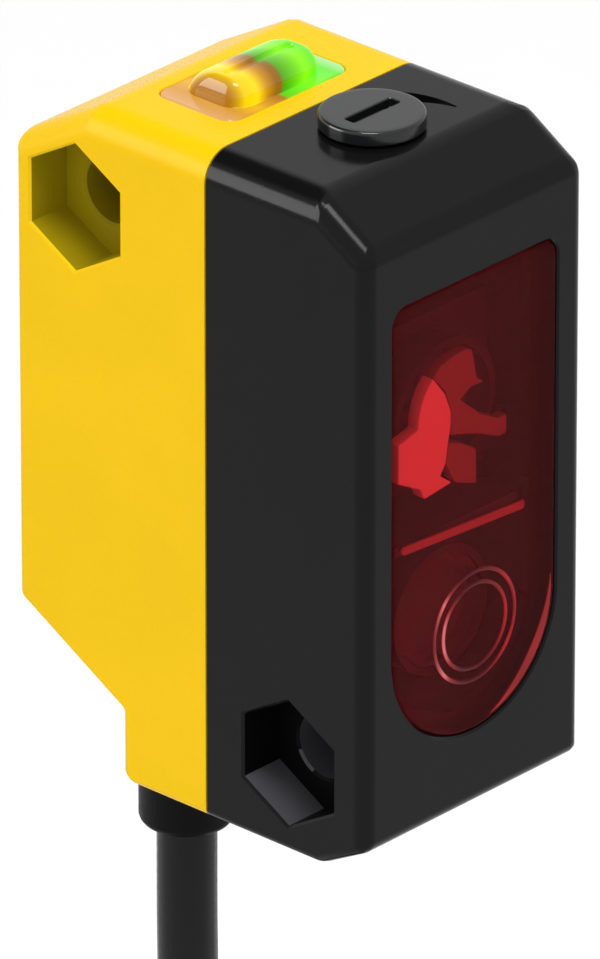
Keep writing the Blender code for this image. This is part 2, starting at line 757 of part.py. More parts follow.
def cable_entry():
    """Moulded collar through the slanted wall, with the crimp and the four cores up to the board."""
    centre = (0.0, CABLE_Y, 0.0)
    boot = turned(
        "cable_boot",
        [
            (0.0, SLOPE_Z + 0.5), (BOOT_R, SLOPE_Z + 0.5), (BOOT_R, BOOT_END + 0.4),
            (BOOT_R - 0.12, BOOT_END + 0.12),
            (BOOT_R - 0.4, BOOT_END), (0.0, BOOT_END),
        ],
        centre,
        "Z",
        32,
        "rubber",
    )
    slope = REAR_SLOPE / REAR_STEP
    under_z = SLOPE_Z - STATIC_GAP * math.hypot(1.0, slope)
    above = prism(
        "boot_slope",
        [
            (STEP_Y - 5.0, under_z - slope * (REAR_STEP + 5.0)),
            (DEPTH + 4.0, under_z + slope * 4.0),
            (DEPTH + 4.0, SLOPE_Z + 12.0),
            (STEP_Y - 5.0, SLOPE_Z + 12.0),
        ],
        "X",
        -4.0,
        4.0,
    )
    cut(boot, above)
    neck = rod("boot_neck", BOOT_NECK_R, centre, "Z", SLOPE_Z - 5.5, SLOPE_Z + 1.3, 28)
    flange_r = DEPTH - WALL - CABLE_Y - 0.2
    flange = rod("boot_flange", flange_r, centre, "Z", SLOPE_Z + 0.9, SLOPE_Z + 1.7, 32)
    join(boot, neck, flange)
    jacket_way = rod("jacket_way", CABLE_R + 0.05, centre, "Z", BOOT_END - 1.2, BOOT_END + 7.1, 24)
    core_way = rod("core_way", 1.05, centre, "Z", BOOT_END + 5.8, SLOPE_Z + 3.5, 24)
    cut(boot, jacket_way, core_way)
    turned(
        "crimp_ring",
        [
            (1.05, SLOPE_Z + 3.3), (1.6, SLOPE_Z + 3.3), (1.6, SLOPE_Z + 2.0), (1.05, SLOPE_Z + 2.0)
        ],
        centre,
        "Z",
        24,
        "steel",
    )
    cores = (
        ("wire_brown", -0.42, -0.42, -3.0),
        ("wire_white", -0.42, 0.42, -1.0),
        ("wire_black", 0.42, 0.42, 1.0),
        ("wire_blue", 0.42, -0.42, 3.0),
    )
    for name, dx, dy, pad in cores:
        lift = 0.9 if dy > 0 else 0.0
        points = [
            (dx, CABLE_Y + dy, BOOT_END + 7.4),
            (dx, CABLE_Y + dy, SLOPE_Z - 1.5),
            (dx, CABLE_Y + dy, SLOPE_Z + 3.2 + lift),
            (dx * 1.6, CABLE_Y - 0.5 + dy, SLOPE_Z + 4.2 + lift),
            (pad * 0.7, (BOARD_Y + CABLE_Y) / 2 + 1.08, SLOPE_Z + 4.2 + lift),
            (pad, BOARD_Y + 2.9, SLOPE_Z + 3.2 + lift),
            (pad, BOARD_Y + 2.1, SLOPE_Z + 1.3),
            (pad, BOARD_Y + BOARD_T + 0.2, SLOPE_Z + 0.1),
        ]
        tube(name, smooth_line(points, 3), 0.34, name, 1)


def free_cable():
    """Cable below the collar, the wound bundle, its tie and the stripped end."""
    lead = [(0.0, CABLE_Y, z) for z in (-32.8, -36.5, -40.0, -45.5)]
    lead += [
        (0.0, CABLE_Y - 0.12, -50.5), (-0.2, CABLE_Y - 0.79, -55.3), (-0.7, CABLE_Y - 2.34, -60.0),
        (-1.5, CABLE_Y - 4.8, -63.8),
    ]
    tube("cable_lead", smooth_line(lead, 2), CABLE_R, "cable")
    section = outline(
        [
            (COIL_R + COIL_HALF, -COIL_HALF, CABLE_R), (COIL_R + COIL_HALF, COIL_HALF, CABLE_R),
            (COIL_R - COIL_HALF, COIL_HALF, CABLE_R), (COIL_R - COIL_HALF, -COIL_HALF, CABLE_R),
        ],
        2,
    )
    turned("cable_coil", section, (0.0, CABLE_Y, COIL_Z), "X", 40, "cable")
    inner = COIL_HALF + TIE_GAP
    centre = (0.0, CABLE_Y + COIL_R)
    tie = prism(
        "coil_tie",
        rounded_rectangle(inner + TIE_T, inner + TIE_T, 2.2, centre, 3),
        "Z",
        COIL_Z - 1.4,
        COIL_Z + 1.4,
        "black",
    )
    hole = rounded_rectangle(inner, inner, 1.5, centre, 3)
    cut(tie, prism("tie_hole", hole, "Z", COIL_Z - 3.0, COIL_Z + 3.0))
    tail_y = CABLE_Y - COIL_R - COIL_HALF + CABLE_R
    tail_x = COIL_HALF - CABLE_R
    tail = [(tail_x, tail_y, z) for z in (-105.2, -107.8, -110.4)]
    tail.append((tail_x - 0.05, tail_y + 0.2, -113.0))
    tube("cable_tail", smooth_line(tail, 1), CABLE_R, "cable")
    tail_y += 0.2
    for name, dx, dy in (
        ("brown", -0.62, -0.62), ("white", -0.62, 0.62), ("black", 0.62, 0.62), ("blue", 0.62, -0.62)
    ):
        points = [
            (tail_x + dx, tail_y + dy, -113.2),
            (tail_x + dx * 1.3, tail_y + dy * 1.3, -115.5),
            (tail_x + dx * 2.2, tail_y + dy * 2.2, -118.5),
            (tail_x + dx * 2.7, tail_y + dy * 2.7, -123.0),
        ]
        tube("lead_" + name, smooth_line(points, 2), 0.42, "wire_" + name, 1)


front_housing()
rear_housing()
window()
indicator_dome()
adjuster()
optics()
electronics()
cable_entry()
free_cable()
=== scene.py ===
"""Photoelectric sensor: a two-part moulded housing with a red window, an adjuster, a lit indicator and a cable.

Sizes inside the classes are millimetres in the sensor's own coordinates: x across the width from its middle,
y back from the front face, z up from the top face. The Layout class turns them into the frame's metres.
"""

import logging
import math
from dataclasses import dataclass, field
from enum import Enum
from typing import Iterable, Sequence

import bmesh
import bpy
from bmesh.types import BMVert, BMesh
from bpy.types import Material, Mesh, Node, NodeSocket, NodeTree, Object
from mathutils import Matrix, Vector


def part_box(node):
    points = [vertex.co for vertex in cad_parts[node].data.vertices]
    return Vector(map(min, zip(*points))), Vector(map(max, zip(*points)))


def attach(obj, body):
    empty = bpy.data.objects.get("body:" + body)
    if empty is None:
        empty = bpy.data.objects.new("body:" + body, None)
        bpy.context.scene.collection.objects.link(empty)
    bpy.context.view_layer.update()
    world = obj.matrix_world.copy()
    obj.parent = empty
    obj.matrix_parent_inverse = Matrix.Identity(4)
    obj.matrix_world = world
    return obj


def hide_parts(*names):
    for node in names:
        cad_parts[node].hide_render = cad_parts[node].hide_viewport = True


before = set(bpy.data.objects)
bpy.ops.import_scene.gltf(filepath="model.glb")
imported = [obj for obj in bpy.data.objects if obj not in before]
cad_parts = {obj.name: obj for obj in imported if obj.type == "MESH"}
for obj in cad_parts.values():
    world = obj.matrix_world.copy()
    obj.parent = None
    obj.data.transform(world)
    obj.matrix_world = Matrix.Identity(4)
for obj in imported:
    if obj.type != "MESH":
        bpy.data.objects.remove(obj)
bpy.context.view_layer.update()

MM = 0.001
WELD = 2e-7
CUT_WELD = 2e-6
SHARP = 32.0
COVER_Y = 13.94
COVER_SEAT = (4.15, 2.475)
COVER_GAP = 0.06
KNOB_Y = 6.47
CABLE_Y = 18.24
CABLE_R = 1.45
COLLAR_END = -39.8
LOG = logging.getLogger("photoelectric_sensor")
Point = tuple[float, float, float]
Flat = tuple[float, float]


class Axis(Enum):
    """Direction that a flat outline is run along, or that a turned shape is turned about."""

    X = 0
    Y = 1
    Z = 2

    def place(self, a: float, b: float, along: float) -> Point:
        """Puts flat coordinates and a level into space."""
        return {Axis.X: (along, a, b), Axis.Y: (a, along, b), Axis.Z: (a, b, along)}[self]


class Body(Enum):
    """Moving bodies of the sensor."""

    HOUSING = "housing"
    ADJUSTER = "adjuster"
    CARRIAGE = "carriage"


@dataclass(frozen=True)
class Layout:
    """Places the sensor's own millimetre coordinates in the frame, from the box of its front housing half."""

    origin: Vector

    @classmethod
    def from_frame(cls) -> "Layout":
        """Reads the origin from the front housing.

        Returns:
            The layout, whose origin is mid-width, on the front face, at the top face.
        """
        low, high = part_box("front_housing")
        return cls(Vector(((low.x + high.x) / 2, low.y, high.z)))

    def at(self, x: float, y: float, z: float) -> Vector:
        """Turns millimetres into the frame's metres."""
        return self.origin + Vector((x, y, z)) * MM


LAYOUT = Layout.from_frame()


# materials


def linear(code: str) -> tuple[float, float, float, float]:
    """Turns an sRGB hex colour into linear red, green, blue and alpha.

    Args:
        code: Six hex digits.

    Returns:
        The linear colour with alpha 1.
    """
    parts = [int(code[i : i + 2], 16) / 255 for i in (0, 2, 4)]
    red, green, blue = (c / 12.92 if c <= 0.04045 else ((c + 0.055) / 1.055) ** 2.4 for c in parts)
    return red, green, blue, 1.0


def add(tree: NodeTree, kind: str, settings: dict | None = None, **links: object) -> Node:
    """Adds a shader node with its settings, its socket values and its links.

    Args:
        tree: Node tree to add to.
        kind: Node type without the ShaderNode prefix.
        settings: Node properties by name.
        **links: Socket name, with spaces as underscores, to a value or to an output socket.

    Returns:
        The new node.
    """
    node = tree.nodes.new("ShaderNode" + kind)
    for key, value in (settings or {}).items():
        setattr(node, key, value)
    for key, value in links.items():
        name = key.replace("_", " ")
        socket = node.inputs[int(key[1:])] if key[0] == "i" and key[1:].isdigit() else node.inputs[name]
        if isinstance(value, NodeSocket):
            tree.links.new(value, socket)
        else:
            socket.default_value = value
    return node


def ramp(tree: NodeTree, factor: NodeSocket, stops: Sequence[tuple[float, tuple]]) -> Node:
    """Adds a colour ramp with the given stops.

    Args:
        tree: Node tree to add to.
        factor: Output that drives the ramp.
        stops: Position and linear colour of each stop.

    Returns:
        The ramp node.
    """
    node = add(tree, "ValToRGB", Fac=factor)
    elements = node.color_ramp.elements
    while len(elements) < len(stops):
        elements.new(0.5)
    for element, (position, colour) in zip(elements, stops):
        element.position = position
        element.color = colour
    return node


@dataclass(frozen=True)
class Finish:
    """A surface finish: the real material, its colour and how it was made.

    grain_mm is the pitch of the fine surface texture and mottle_mm that of the slow colour drift.
    """

    name: str
    colour: str
    roughness: float = 0.45
    metallic: float = 0.0
    specular: float = 0.5
    ior: float = 1.5
    grain_mm: float = 0.25
    grain_depth: float = 0.05
    mottle_mm: float = 6.0
    mottle: float = 0.06
    spread: float = 0.06
    coat: float = 0.0
    stretch: tuple[float, float, float] = (1.0, 1.0, 1.0)

    def shader(self, tree: NodeTree) -> Node:
        """Builds the Principled shader with its grain, drift and sheen variation.

        Args:
            tree: Node tree to build in.

        Returns:
            The Principled node.
        """
        place = add(tree, "TexCoord")
        turn = add(tree, "Mapping", Vector=place.outputs["Object"], Scale=self.stretch)
        drift = add(
            tree, "TexNoise", Vector=turn.outputs[0], Scale=1.0 / (self.mottle_mm * MM), Detail=3.0, Roughness=0.55
        )
        grain = add(
            tree, "TexNoise", Vector=turn.outputs[0], Scale=1.0 / (self.grain_mm * MM), Detail=2.0, Roughness=0.6
        )
        base = linear(self.colour)
        dark = tuple(c * (1 - self.mottle) for c in base[:3]) + (1.0,)
        light = tuple(min(1.0, c * (1 + self.mottle)) for c in base[:3]) + (1.0,)
        tint = ramp(tree, drift.outputs["Fac"], [(0.35, dark), (0.65, light)])
        rough = add(
            tree, "MapRange", Value=grain.outputs["Fac"], From_Min=0.3, From_Max=0.7,
            To_Min=max(0.02, self.roughness - self.spread), To_Max=min(1.0, self.roughness + self.spread),
        )
        bump = add(
            tree, "Bump", Height=grain.outputs["Fac"], Strength=min(1.0, self.grain_depth * 4),
            Distance=self.grain_mm * MM * self.grain_depth,
        )
        shader = add(
            tree, "BsdfPrincipled", Base_Color=tint.outputs[0], Roughness=rough.outputs[0],
            Normal=bump.outputs[0], Metallic=self.metallic, Coat_Weight=self.coat, Coat_Roughness=0.08,
        )
        if self.metallic < 0.5:
            shader.inputs["IOR"].default_value = self.ior
            shader.inputs["Specular IOR Level"].default_value = self.specular
        return shader

    def surface(self, tree: NodeTree) -> NodeSocket:
        """Builds the nodes and returns the socket that the material output takes."""
        return self.shader(tree).outputs[0]

    def material(self) -> Material:
        """Returns the material, made once and then shared."""
        found = bpy.data.materials.get(self.name)
        if found:
            return found
        made = bpy.data.materials.new(self.name)
        made.use_nodes = True
        tree = made.node_tree
        tree.nodes.clear()
        add(tree, "OutputMaterial", Surface=self.surface(tree))
        made.diffuse_color = linear(self.colour)
        return made


@dataclass(frozen=True)
class Filter(Finish):
    """Clear moulding seen through: a tinted transparent body with a thin gloss.

    tint is the colour that one surface lets through, body the share of light that the plastic itself
    scatters, and gloss_ior the strength of the reflection.
    """

    tint: str = "ffffff"
    body: float = 0.06
    gloss_ior: float = 1.2

    def surface(self, tree: NodeTree) -> NodeSocket:
        """Mixes the scattering body with the clear one, under the gloss."""
        solid = self.shader(tree)
        clear = add(tree, "BsdfTransparent", Color=linear(self.tint))
        inner = add(tree, "MixShader", i0=self.body, i1=clear.outputs[0], i2=solid.outputs[0])
        gloss = add(tree, "BsdfGlossy", Color=(1.0, 1.0, 1.0, 1.0), Roughness=self.roughness)
        edge = add(tree, "Fresnel", IOR=self.gloss_ior)
        return add(tree, "MixShader", i0=edge.outputs[0], i1=inner.outputs[0], i2=gloss.outputs[0]).outputs[0]


@dataclass(frozen=True)
class Glow(Finish):
    """Moulding that glows with colour running along x, as (millimetres from the middle, hex colour, strength): lit by
    a lamp beneath it, or a painted highlight.
    """

    stops: tuple[tuple[float, str, float], ...] = ()
    brightest: float = 4.0

    def surface(self, tree: NodeTree) -> NodeSocket:
        """Adds the light that runs along x to the plain shader."""
        shader = self.shader(tree)
        place = add(tree, "TexCoord")
        axes = add(tree, "SeparateXYZ", Vector=place.outputs["Object"])
        middle = LAYOUT.origin.x
        low, high = self.stops[0][0], self.stops[-1][0]
        along = add(
            tree, "MapRange", Value=axes.outputs[0], From_Min=middle + low * MM, From_Max=middle + high * MM,
            To_Min=0.0, To_Max=1.0,
        )
        spots = [((x - low) / (high - low), linear(code)) for x, code, _ in self.stops]
        power = [((x - low) / (high - low), (*[s / self.brightest] * 3, 1.0)) for x, _, s in self.stops]
        colour = ramp(tree, along.outputs[0], spots)
        strength = ramp(tree, along.outputs[0], power)
        lit = add(tree, "Math", {"operation": "MULTIPLY"}, i0=strength.outputs[0], i1=self.brightest)
        tree.links.new(colour.outputs[0], shader.inputs["Emission Color"])
        tree.links.new(lit.outputs[0], shader.inputs["Emission Strength"])
        return shader.outputs[0]


# ABS moulded in a fine spark-eroded tool: even black with a soft, weak sheen
BLACK_ABS = Finish("black_moulded_abs", "0e0e0f", 0.17, spread=0.03, specular=0.115, grain_mm=0.16, mottle_mm=5.0)
# the same resin in warm yellow
YELLOW_ABS = Finish(
    "yellow_moulded_abs", "ebbe0a", 0.30, specular=0.06, grain_mm=0.2, grain_depth=0.04, mottle_mm=8.0, mottle=0.02
)
# walls of the sunk pockets, where the tool is rougher: painted shade, darker and duller than the outside, and a grey
# painted light for the black pocket's bore and its wall that faces up and forwards
YELLOW_PAINTED_SHADE = Finish("yellow_abs_painted_shade", "9c8a0c", 0.5, specular=0.05, grain_mm=0.3, grain_depth=0.06, mottle=0.08)
BLACK_PAINTED_SHADE = Finish("black_abs_painted_shade", "0a0a0b", 0.4, specular=0.05, grain_mm=0.3, grain_depth=0.06, mottle=0.08)
BLACK_PAINTED_LIGHT = Finish("black_abs_painted_light", "4c4c50", 0.4, specular=0.15, grain_mm=0.3, grain_depth=0.06, mottle=0.08)
# painted highlight: a bright red crescent for the pane's lower right edge
RED_PAINTED_HIGHLIGHT = Finish("red_acrylic_painted_highlight", "8c1418", 0.2, specular=0.12, grain_mm=0.6, grain_depth=0.01, mottle=0.3)
# polished acrylic filter, deep red: a little body colour, mostly see-through
RED_ACRYLIC = Filter(
    "red_acrylic_filter", "b33038", 0.03, grain_mm=1.5, grain_depth=0.004, mottle=0.03, tint="ffb1b5", body=0.05,
    gloss_ior=1.05,
)
# clear moulded lens
CLEAR_ACRYLIC = Filter(
    "clear_moulded_lens", "d8dadf", 0.04, grain_mm=1.5, grain_depth=0.003, tint="f4f4f6", body=0.03, gloss_ior=1.1
)
# glass-filled nylon, polished by handling
KNOB_NYLON = Finish(
    "black_nylon_knob", "121314", 0.18, spread=0.03, specular=0.45, grain_mm=0.12, grain_depth=0.03, mottle=0.1
)
# soft PVC overmould with a matt skin
BOOT_PVC = Finish("black_pvc_boot", "040404", 0.45, specular=0.08, grain_mm=0.3, grain_depth=0.06, mottle=0.1)
# extruded PVC jacket
CABLE_PVC = Finish("black_pvc_jacket", "101011", 0.35, specular=0.16, mottle=0.12)
NYLON_TIE = Finish("black_nylon_tie", "161617", 0.35, specular=0.4, grain_mm=0.3)
WHITE_POM = Finish("white_acetal", "dcd4ce", 0.4, grain_mm=0.3, grain_depth=0.03, mottle=0.03)
# painted shade: a grey copy of the white acetal for the carriage faces that lie in shade
ACETAL_PAINTED_SHADE = Finish("acetal_painted_shade", "736866", 0.45, grain_mm=0.3, grain_depth=0.03, mottle=0.04)
# painted highlight: a pale copy of the chassis plastic for the light stop's lit front edge
PBT_PAINTED_HIGHLIGHT = Finish("pbt_painted_highlight", "94888a", 0.35, grain_depth=0.04, mottle=0.05)
# dark grey plastic, darkened further as painted shade for the carriage and chassis behind the window
DARK_PBT_PAINTED_SHADE = Finish("dark_pbt_painted_shade", "1c1819", 0.5, specular=0.2, mottle=0.08)
STEEL = Finish(
    "drawn_steel", "b9bbbd", 0.25, metallic=1.0, grain_mm=0.06, grain_depth=0.03, stretch=(1.0, 1.0, 0.08), mottle=0.04
)
BRASS = Finish("turned_brass", "c99b4a", 0.28, metallic=1.0, grain_mm=0.08, grain_depth=0.03, mottle=0.05)
TIN = Finish("tinned_copper", "c9c6bf", 0.3, metallic=1.0, grain_mm=0.12, grain_depth=0.12, mottle=0.08)
NITRILE = Finish("nitrile_seal", "1a1a1a", 0.6, specular=0.4, grain_mm=0.2)
BOARD = Finish("green_solder_mask", "17502c", 0.35, grain_mm=0.4, mottle_mm=2.0, mottle=0.2, coat=0.3)
CHIP = Finish("moulded_chip_resin", "202023", 0.5, grain_mm=0.1, grain_depth=0.06, mottle=0.08)
CERAMIC = Finish("sintered_ceramic", "a98052", 0.5, grain_mm=0.15, mottle=0.1)
CORES = {
    name: Finish(f"{name}_pvc_core", colour, 0.4, grain_mm=0.2, mottle=mottle)
    for name, colour, mottle in (
        ("brown", "5a3420", 0.08), ("white", "e6e5e0", 0.03), ("black", "1b1b1c", 0.1), ("blue", "1c4c9c", 0.08),
    )
}
PALE_FLOOR = Finish("pale_floor", "fbfbfb", 0.9, specular=0.1, grain_mm=8.0, grain_depth=0.01, mottle=0.002)
# clear cover lit from below: amber lamp under one half and green under the other
LIT_COVER = Glow(
    "lit_indicator_cover", "4a3408", 0.1, spread=0.02, specular=0.3, grain_mm=0.8, grain_depth=0.006,
    stops=(
        (-4.1, "b06c10", 0.6), (-2.9, "c88010", 0.7), (-2.4, "ffd804", 0.95), (-1.7, "ffe004", 1.0),
        (-1.0, "e09c0c", 0.75), (-0.4, "b07414", 0.6), (-0.1, "a07c18", 0.6), (0.1, "20c40c", 0.7),
        (1.6, "7cff08", 1.0), (2.6, "24e60c", 0.9), (4.1, "50ee40", 0.85),
    ),
)
LIT_FLANGE = Glow(
    "lit_cover_flange", "5a4416", 0.1, spread=0.02, specular=0.3, grain_mm=0.8, grain_depth=0.006,
    stops=(
        (-4.1, "e4ac74", 0.85), (-3.0, "e09c30", 0.8), (-2.0, "ecb414", 0.85), (-0.9, "cc8824", 0.75),
        (-0.4, "bc7c24", 0.7), (-0.15, "28dc10", 0.85), (1.8, "58fc0c", 1.0), (3.2, "2cee18", 0.9),
        (4.1, "b0f0b0", 0.9),
    ),
)
# lens rim on the window: dark red, with glowing painted highlights on its left and right sides
RED_BEAD_PAINTED_HIGHLIGHT = Glow(
    "red_acrylic_bead_painted_highlight", "4c0c10", 0.2, specular=0.1, grain_mm=0.6, grain_depth=0.01, mottle=0.05,
    stops=(
        (-2.9, "8c2024", 0.3), (-2.15, "f08084", 0.7), (-1.7, "b03034", 0.4), (-0.9, "400a0c", 0.1),
        (0.2, "400a0c", 0.1), (1.4, "8c1418", 0.35), (2.2, "c01c24", 0.6), (2.9, "a01c20", 0.4),
    ),
)
LAMP_AMBER, LAMP_GREEN = (
    Glow(name, colour, 0.3, stops=((-4.0, light, 3.0), (4.0, light, 3.0)))
    for name, colour, light in (("amber_lamp", "b06010", "ff8c10"), ("green_lamp", "209018", "30ff20"))
)


# shaping


def link(obj: Object) -> Object:
    """Puts an object in the scene."""
    bpy.context.scene.collection.objects.link(obj)
    return obj


def shade(mesh: Mesh, sharp: float = SHARP) -> None:
    """Smooths every face and keeps the edges sharp that turn by more than so many degrees."""
    for face in mesh.polygons:
        face.use_smooth = True
    mesh.set_sharp_from_angle(angle=math.radians(sharp))


def finish_mesh(shape: BMesh, name: str, sharp: float = SHARP) -> Object:
    """Writes a bmesh to a linked object with smooth faces and sharp creases.

    Args:
        shape: Mesh to write, in the frame's metres. It is freed.
        name: Object name.
        sharp: Edges that turn by more than this many degrees stay sharp.

    Returns:
        The object, at the origin.
    """
    bmesh.ops.remove_doubles(shape, verts=shape.verts, dist=WELD)
    bmesh.ops.recalc_face_normals(shape, faces=shape.faces)
    mesh = bpy.data.meshes.new(name)
    shape.to_mesh(mesh)
    shape.free()
    shade(mesh, sharp)
    return link(bpy.data.objects.new(name, mesh))


def closed(shape: BMesh) -> BMesh:
    """Fills an open end and turns the faces outwards."""
    rim = [e for e in shape.edges if e.is_boundary]
    if rim:
        bmesh.ops.holes_fill(shape, edges=rim, sides=0)
    bmesh.ops.recalc_face_normals(shape, faces=shape.faces)
    return shape


def extruded(flat: Sequence[Flat], axis: Axis, low: float, high: float) -> BMesh:
    """Runs a flat outline along an axis between two levels.

    Args:
        flat: Outline in the plane across the axis, millimetres.
        axis: Direction of the run.
        low: First level.
        high: Last level.

    Returns:
        A closed bmesh in metres.
    """
    shape = bmesh.new()
    face = shape.faces.new([shape.verts.new(LAYOUT.at(*axis.place(a, b, low))) for a, b in flat])
    grown = bmesh.ops.extrude_face_region(shape, geom=[face])
    moved = [v for v in grown["geom"] if isinstance(v, BMVert)]
    bmesh.ops.translate(shape, verts=moved, vec=Vector(axis.place(0.0, 0.0, high - low)) * MM)
    return closed(shape)


def stepped(rings: Sequence[Sequence[Point]]) -> BMesh:
    """Skins matching rings from bottom to top: the first ring is a face that is extruded through the rest.

    Args:
        rings: Rings of equal point counts, millimetres.

    Returns:
        A closed bmesh in metres.
    """
    shape = bmesh.new()
    top = shape.faces.new([shape.verts.new(LAYOUT.at(*p)) for p in rings[0]])
    for ring in rings[1:]:
        grown = bmesh.ops.extrude_discrete_faces(shape, faces=[top])
        top = grown["faces"][0]
        for corner, point in zip(top.verts, ring):
            corner.co = LAYOUT.at(*point)
    return closed(shape)


def turned(profile: Sequence[Flat], centre: Point, axis: Axis = Axis.Z, steps: int = 96) -> BMesh:
    """Spins a profile of (radius, height) points about an axis.

    Args:
        profile: Points in millimetres, heights along the axis from centre. It is closed where it leaves the axis.
        centre: Point on the axis, millimetres.
        axis: Axis of the spin.
        steps: Sides of the full turn.

    Returns:
        A closed bmesh in metres.
    """
    shape = bmesh.new()
    corners = [shape.verts.new((r * MM, 0.0, h * MM)) for r, h in profile]
    edges = [shape.edges.new(pair) for pair in zip(corners, corners[1:])]
    if profile[0][0] > 0 or profile[-1][0] > 0:
        edges.append(shape.edges.new((corners[-1], corners[0])))
    bmesh.ops.spin(
        shape, geom=corners + edges, cent=(0, 0, 0), axis=(0, 0, 1), dvec=(0, 0, 0), angle=math.tau, steps=steps,
        use_merge=True, use_normal_flip=False, use_duplicate=False,
    )
    bmesh.ops.remove_doubles(shape, verts=shape.verts, dist=WELD)
    turn = {
        Axis.Z: Matrix.Identity(4),
        Axis.Y: Matrix.Rotation(-math.pi / 2, 4, "X"),
        Axis.X: Matrix.Rotation(math.pi / 2, 4, "Y"),
    }[axis]
    bmesh.ops.transform(shape, matrix=Matrix.Translation(LAYOUT.at(*centre)) @ turn, verts=shape.verts)
    bmesh.ops.recalc_face_normals(shape, faces=shape.faces)
    return shape


def cylinder(radius: float, low: float, high: float, centre: Point, axis: Axis = Axis.Z, steps: int = 96) -> BMesh:
    """Round bar between two levels, measured along its axis from centre."""
    return turned([(0, low), (radius, low), (radius, high), (0, high)], centre, axis, steps)


def soften(shape: BMesh, radius: float, angle: float = 40.0, segments: int = 3) -> BMesh:
    """Rounds every edge that turns by more than an angle.

    Args:
        shape: Mesh to round.
        radius: Radius in millimetres.
        angle: Smallest turn in degrees.
        segments: Facets across each rounding.

    Returns:
        The same bmesh.
    """
    edges = [e for e in shape.edges if len(e.link_faces) == 2 and e.calc_face_angle(0) > math.radians(angle)]
    bmesh.ops.bevel(
        shape, geom=edges, offset=radius * MM, offset_type="OFFSET", segments=segments, profile=0.5,
        affect="EDGES", material=-1, clamp_overlap=True,
    )
    return shape


def rounded(corners: Sequence[tuple[float, float, float]], segments: int = 8) -> list[Flat]:
    """Turns each (a, b, radius) corner of an outline into an arc.

    Args:
        corners: Outline corners with their radii, millimetres.
        segments: Facets in each arc.

    Returns:
        The outline's points.
    """
    points: list[Flat] = []
    for index, (a, b, radius) in enumerate(corners):
        here = Vector((a, b))
        if radius <= 0:
            points.append((a, b))
            continue
        before = (Vector(corners[index - 1][:2]) - here).normalized()
        after = (Vector(corners[(index + 1) % len(corners)][:2]) - here).normalized()
        half = before.angle(after) / 2
        centre = here + (before + after).normalized() * (radius / math.sin(half))
        reach = radius / math.tan(half)
        start, end = here + before * reach - centre, here + after * reach - centre
        sweep = start.angle(end)
        for step in range(segments + 1):
            t = step / segments
            spot = (start * math.sin((1 - t) * sweep) + end * math.sin(t * sweep)) / math.sin(sweep)
            points.append((centre.x + spot.x, centre.y + spot.y))
    return points


def tower(levels: Iterable[tuple[Sequence[Flat], float]], axis: Axis = Axis.Z) -> BMesh:
    """Skins flat outlines that stand at their levels along an axis."""
    return stepped([[axis.place(a, b, level) for a, b in flat] for flat, level in levels])


def rectangle(half_a: float, half_b: float, radius: float, centre: Flat, segments: int = 8) -> list[Flat]:
    """Outline of a rectangle with round corners."""
    a, b = centre
    signs = ((1, -1), (1, 1), (-1, 1), (-1, -1))
    return rounded([(a + i * half_a, b + j * half_b, radius) for i, j in signs], segments)


def carve(target: Object, tools: Iterable[tuple[BMesh, str]]) -> Object:
    """Applies Boolean tools to a piece and leaves a plain mesh at the origin.

    Args:
        target: Piece to work on, with any modifiers it already has.
        tools: Tool shapes, each with the operation DIFFERENCE, UNION or INTERSECT.

    Returns:
        The same object.
    """
    helpers = []
    for index, (shape, operation) in enumerate(tools):
        helper = finish_mesh(shape, f"{target.name}_tool_{index}")
        step = target.modifiers.new(helper.name, "BOOLEAN")
        step.operation = operation
        step.solver = "EXACT"
        step.object = helper
        helpers.append(helper)
    bpy.context.view_layer.update()
    graph = bpy.context.evaluated_depsgraph_get()
    mesh = bpy.data.meshes.new_from_object(target.evaluated_get(graph), depsgraph=graph)
    target.modifiers.clear()
    target.data = mesh
    for helper in helpers:
        bpy.data.objects.remove(helper, do_unlink=True)
    shape = bmesh.new()
    shape.from_mesh(mesh)
    bmesh.ops.remove_doubles(shape, verts=shape.verts, dist=CUT_WELD)
    bmesh.ops.dissolve_degenerate(shape, dist=CUT_WELD, edges=shape.edges)
    shape.to_mesh(mesh)
    shape.free()
    shade(mesh)
    return target


def dress(obj: Object, finish: Finish, body: Body, nodes: Sequence[str] = ()) -> Object:
    """Gives a piece its material and its body, and hides the CAD nodes that it stands for.

    Args:
        obj: Finished piece.
        finish: Its material.
        body: Body that it rides on.
        nodes: CAD nodes that it replaces.

    Returns:
        The same object.
    """
    obj.data.materials.clear()
    obj.data.materials.append(finish.material())
    if obj.type == "MESH":
        even = obj.modifiers.new("even_normals", "WEIGHTED_NORMAL")
        even.keep_sharp = True
        even.weight = 60
    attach(obj, body.value)
    if nodes:
        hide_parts(*nodes)
    LOG.info("%s rides on %s", obj.name, body.value)
    return obj


def keep(node: str, finish: Finish) -> None:
    """Gives a CAD node that stays its finished material.

    Args:
        node: Node name.
        finish: Its material.
    """
    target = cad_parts[node]
    material = finish.material()
    if not target.data.materials:
        target.data.materials.append(material)
    for slot in target.material_slots:
        slot.material = material


def curve_tube(name: str, points: Sequence[Vector], radius: float, resolution: int) -> Object:
    """One open poly spline with a round section and filled ends.

    Args:
        name: Object name.
        points: Centreline in metres.
        radius: Radius in millimetres.
        resolution: Bevel resolution of the round section.

    Returns:
        The curve object.
    """
    curve = bpy.data.curves.new(name, "CURVE")
    curve.dimensions = "3D"
    curve.bevel_depth = radius * MM
    curve.bevel_resolution = resolution
    curve.use_fill_caps = True
    spline = curve.splines.new("POLY")
    spline.points.add(len(points) - 1)
    for target, point in zip(spline.points, points):
        target.co = (*point, 1.0)
    spline.use_smooth = True
    return link(bpy.data.objects.new(name, curve))


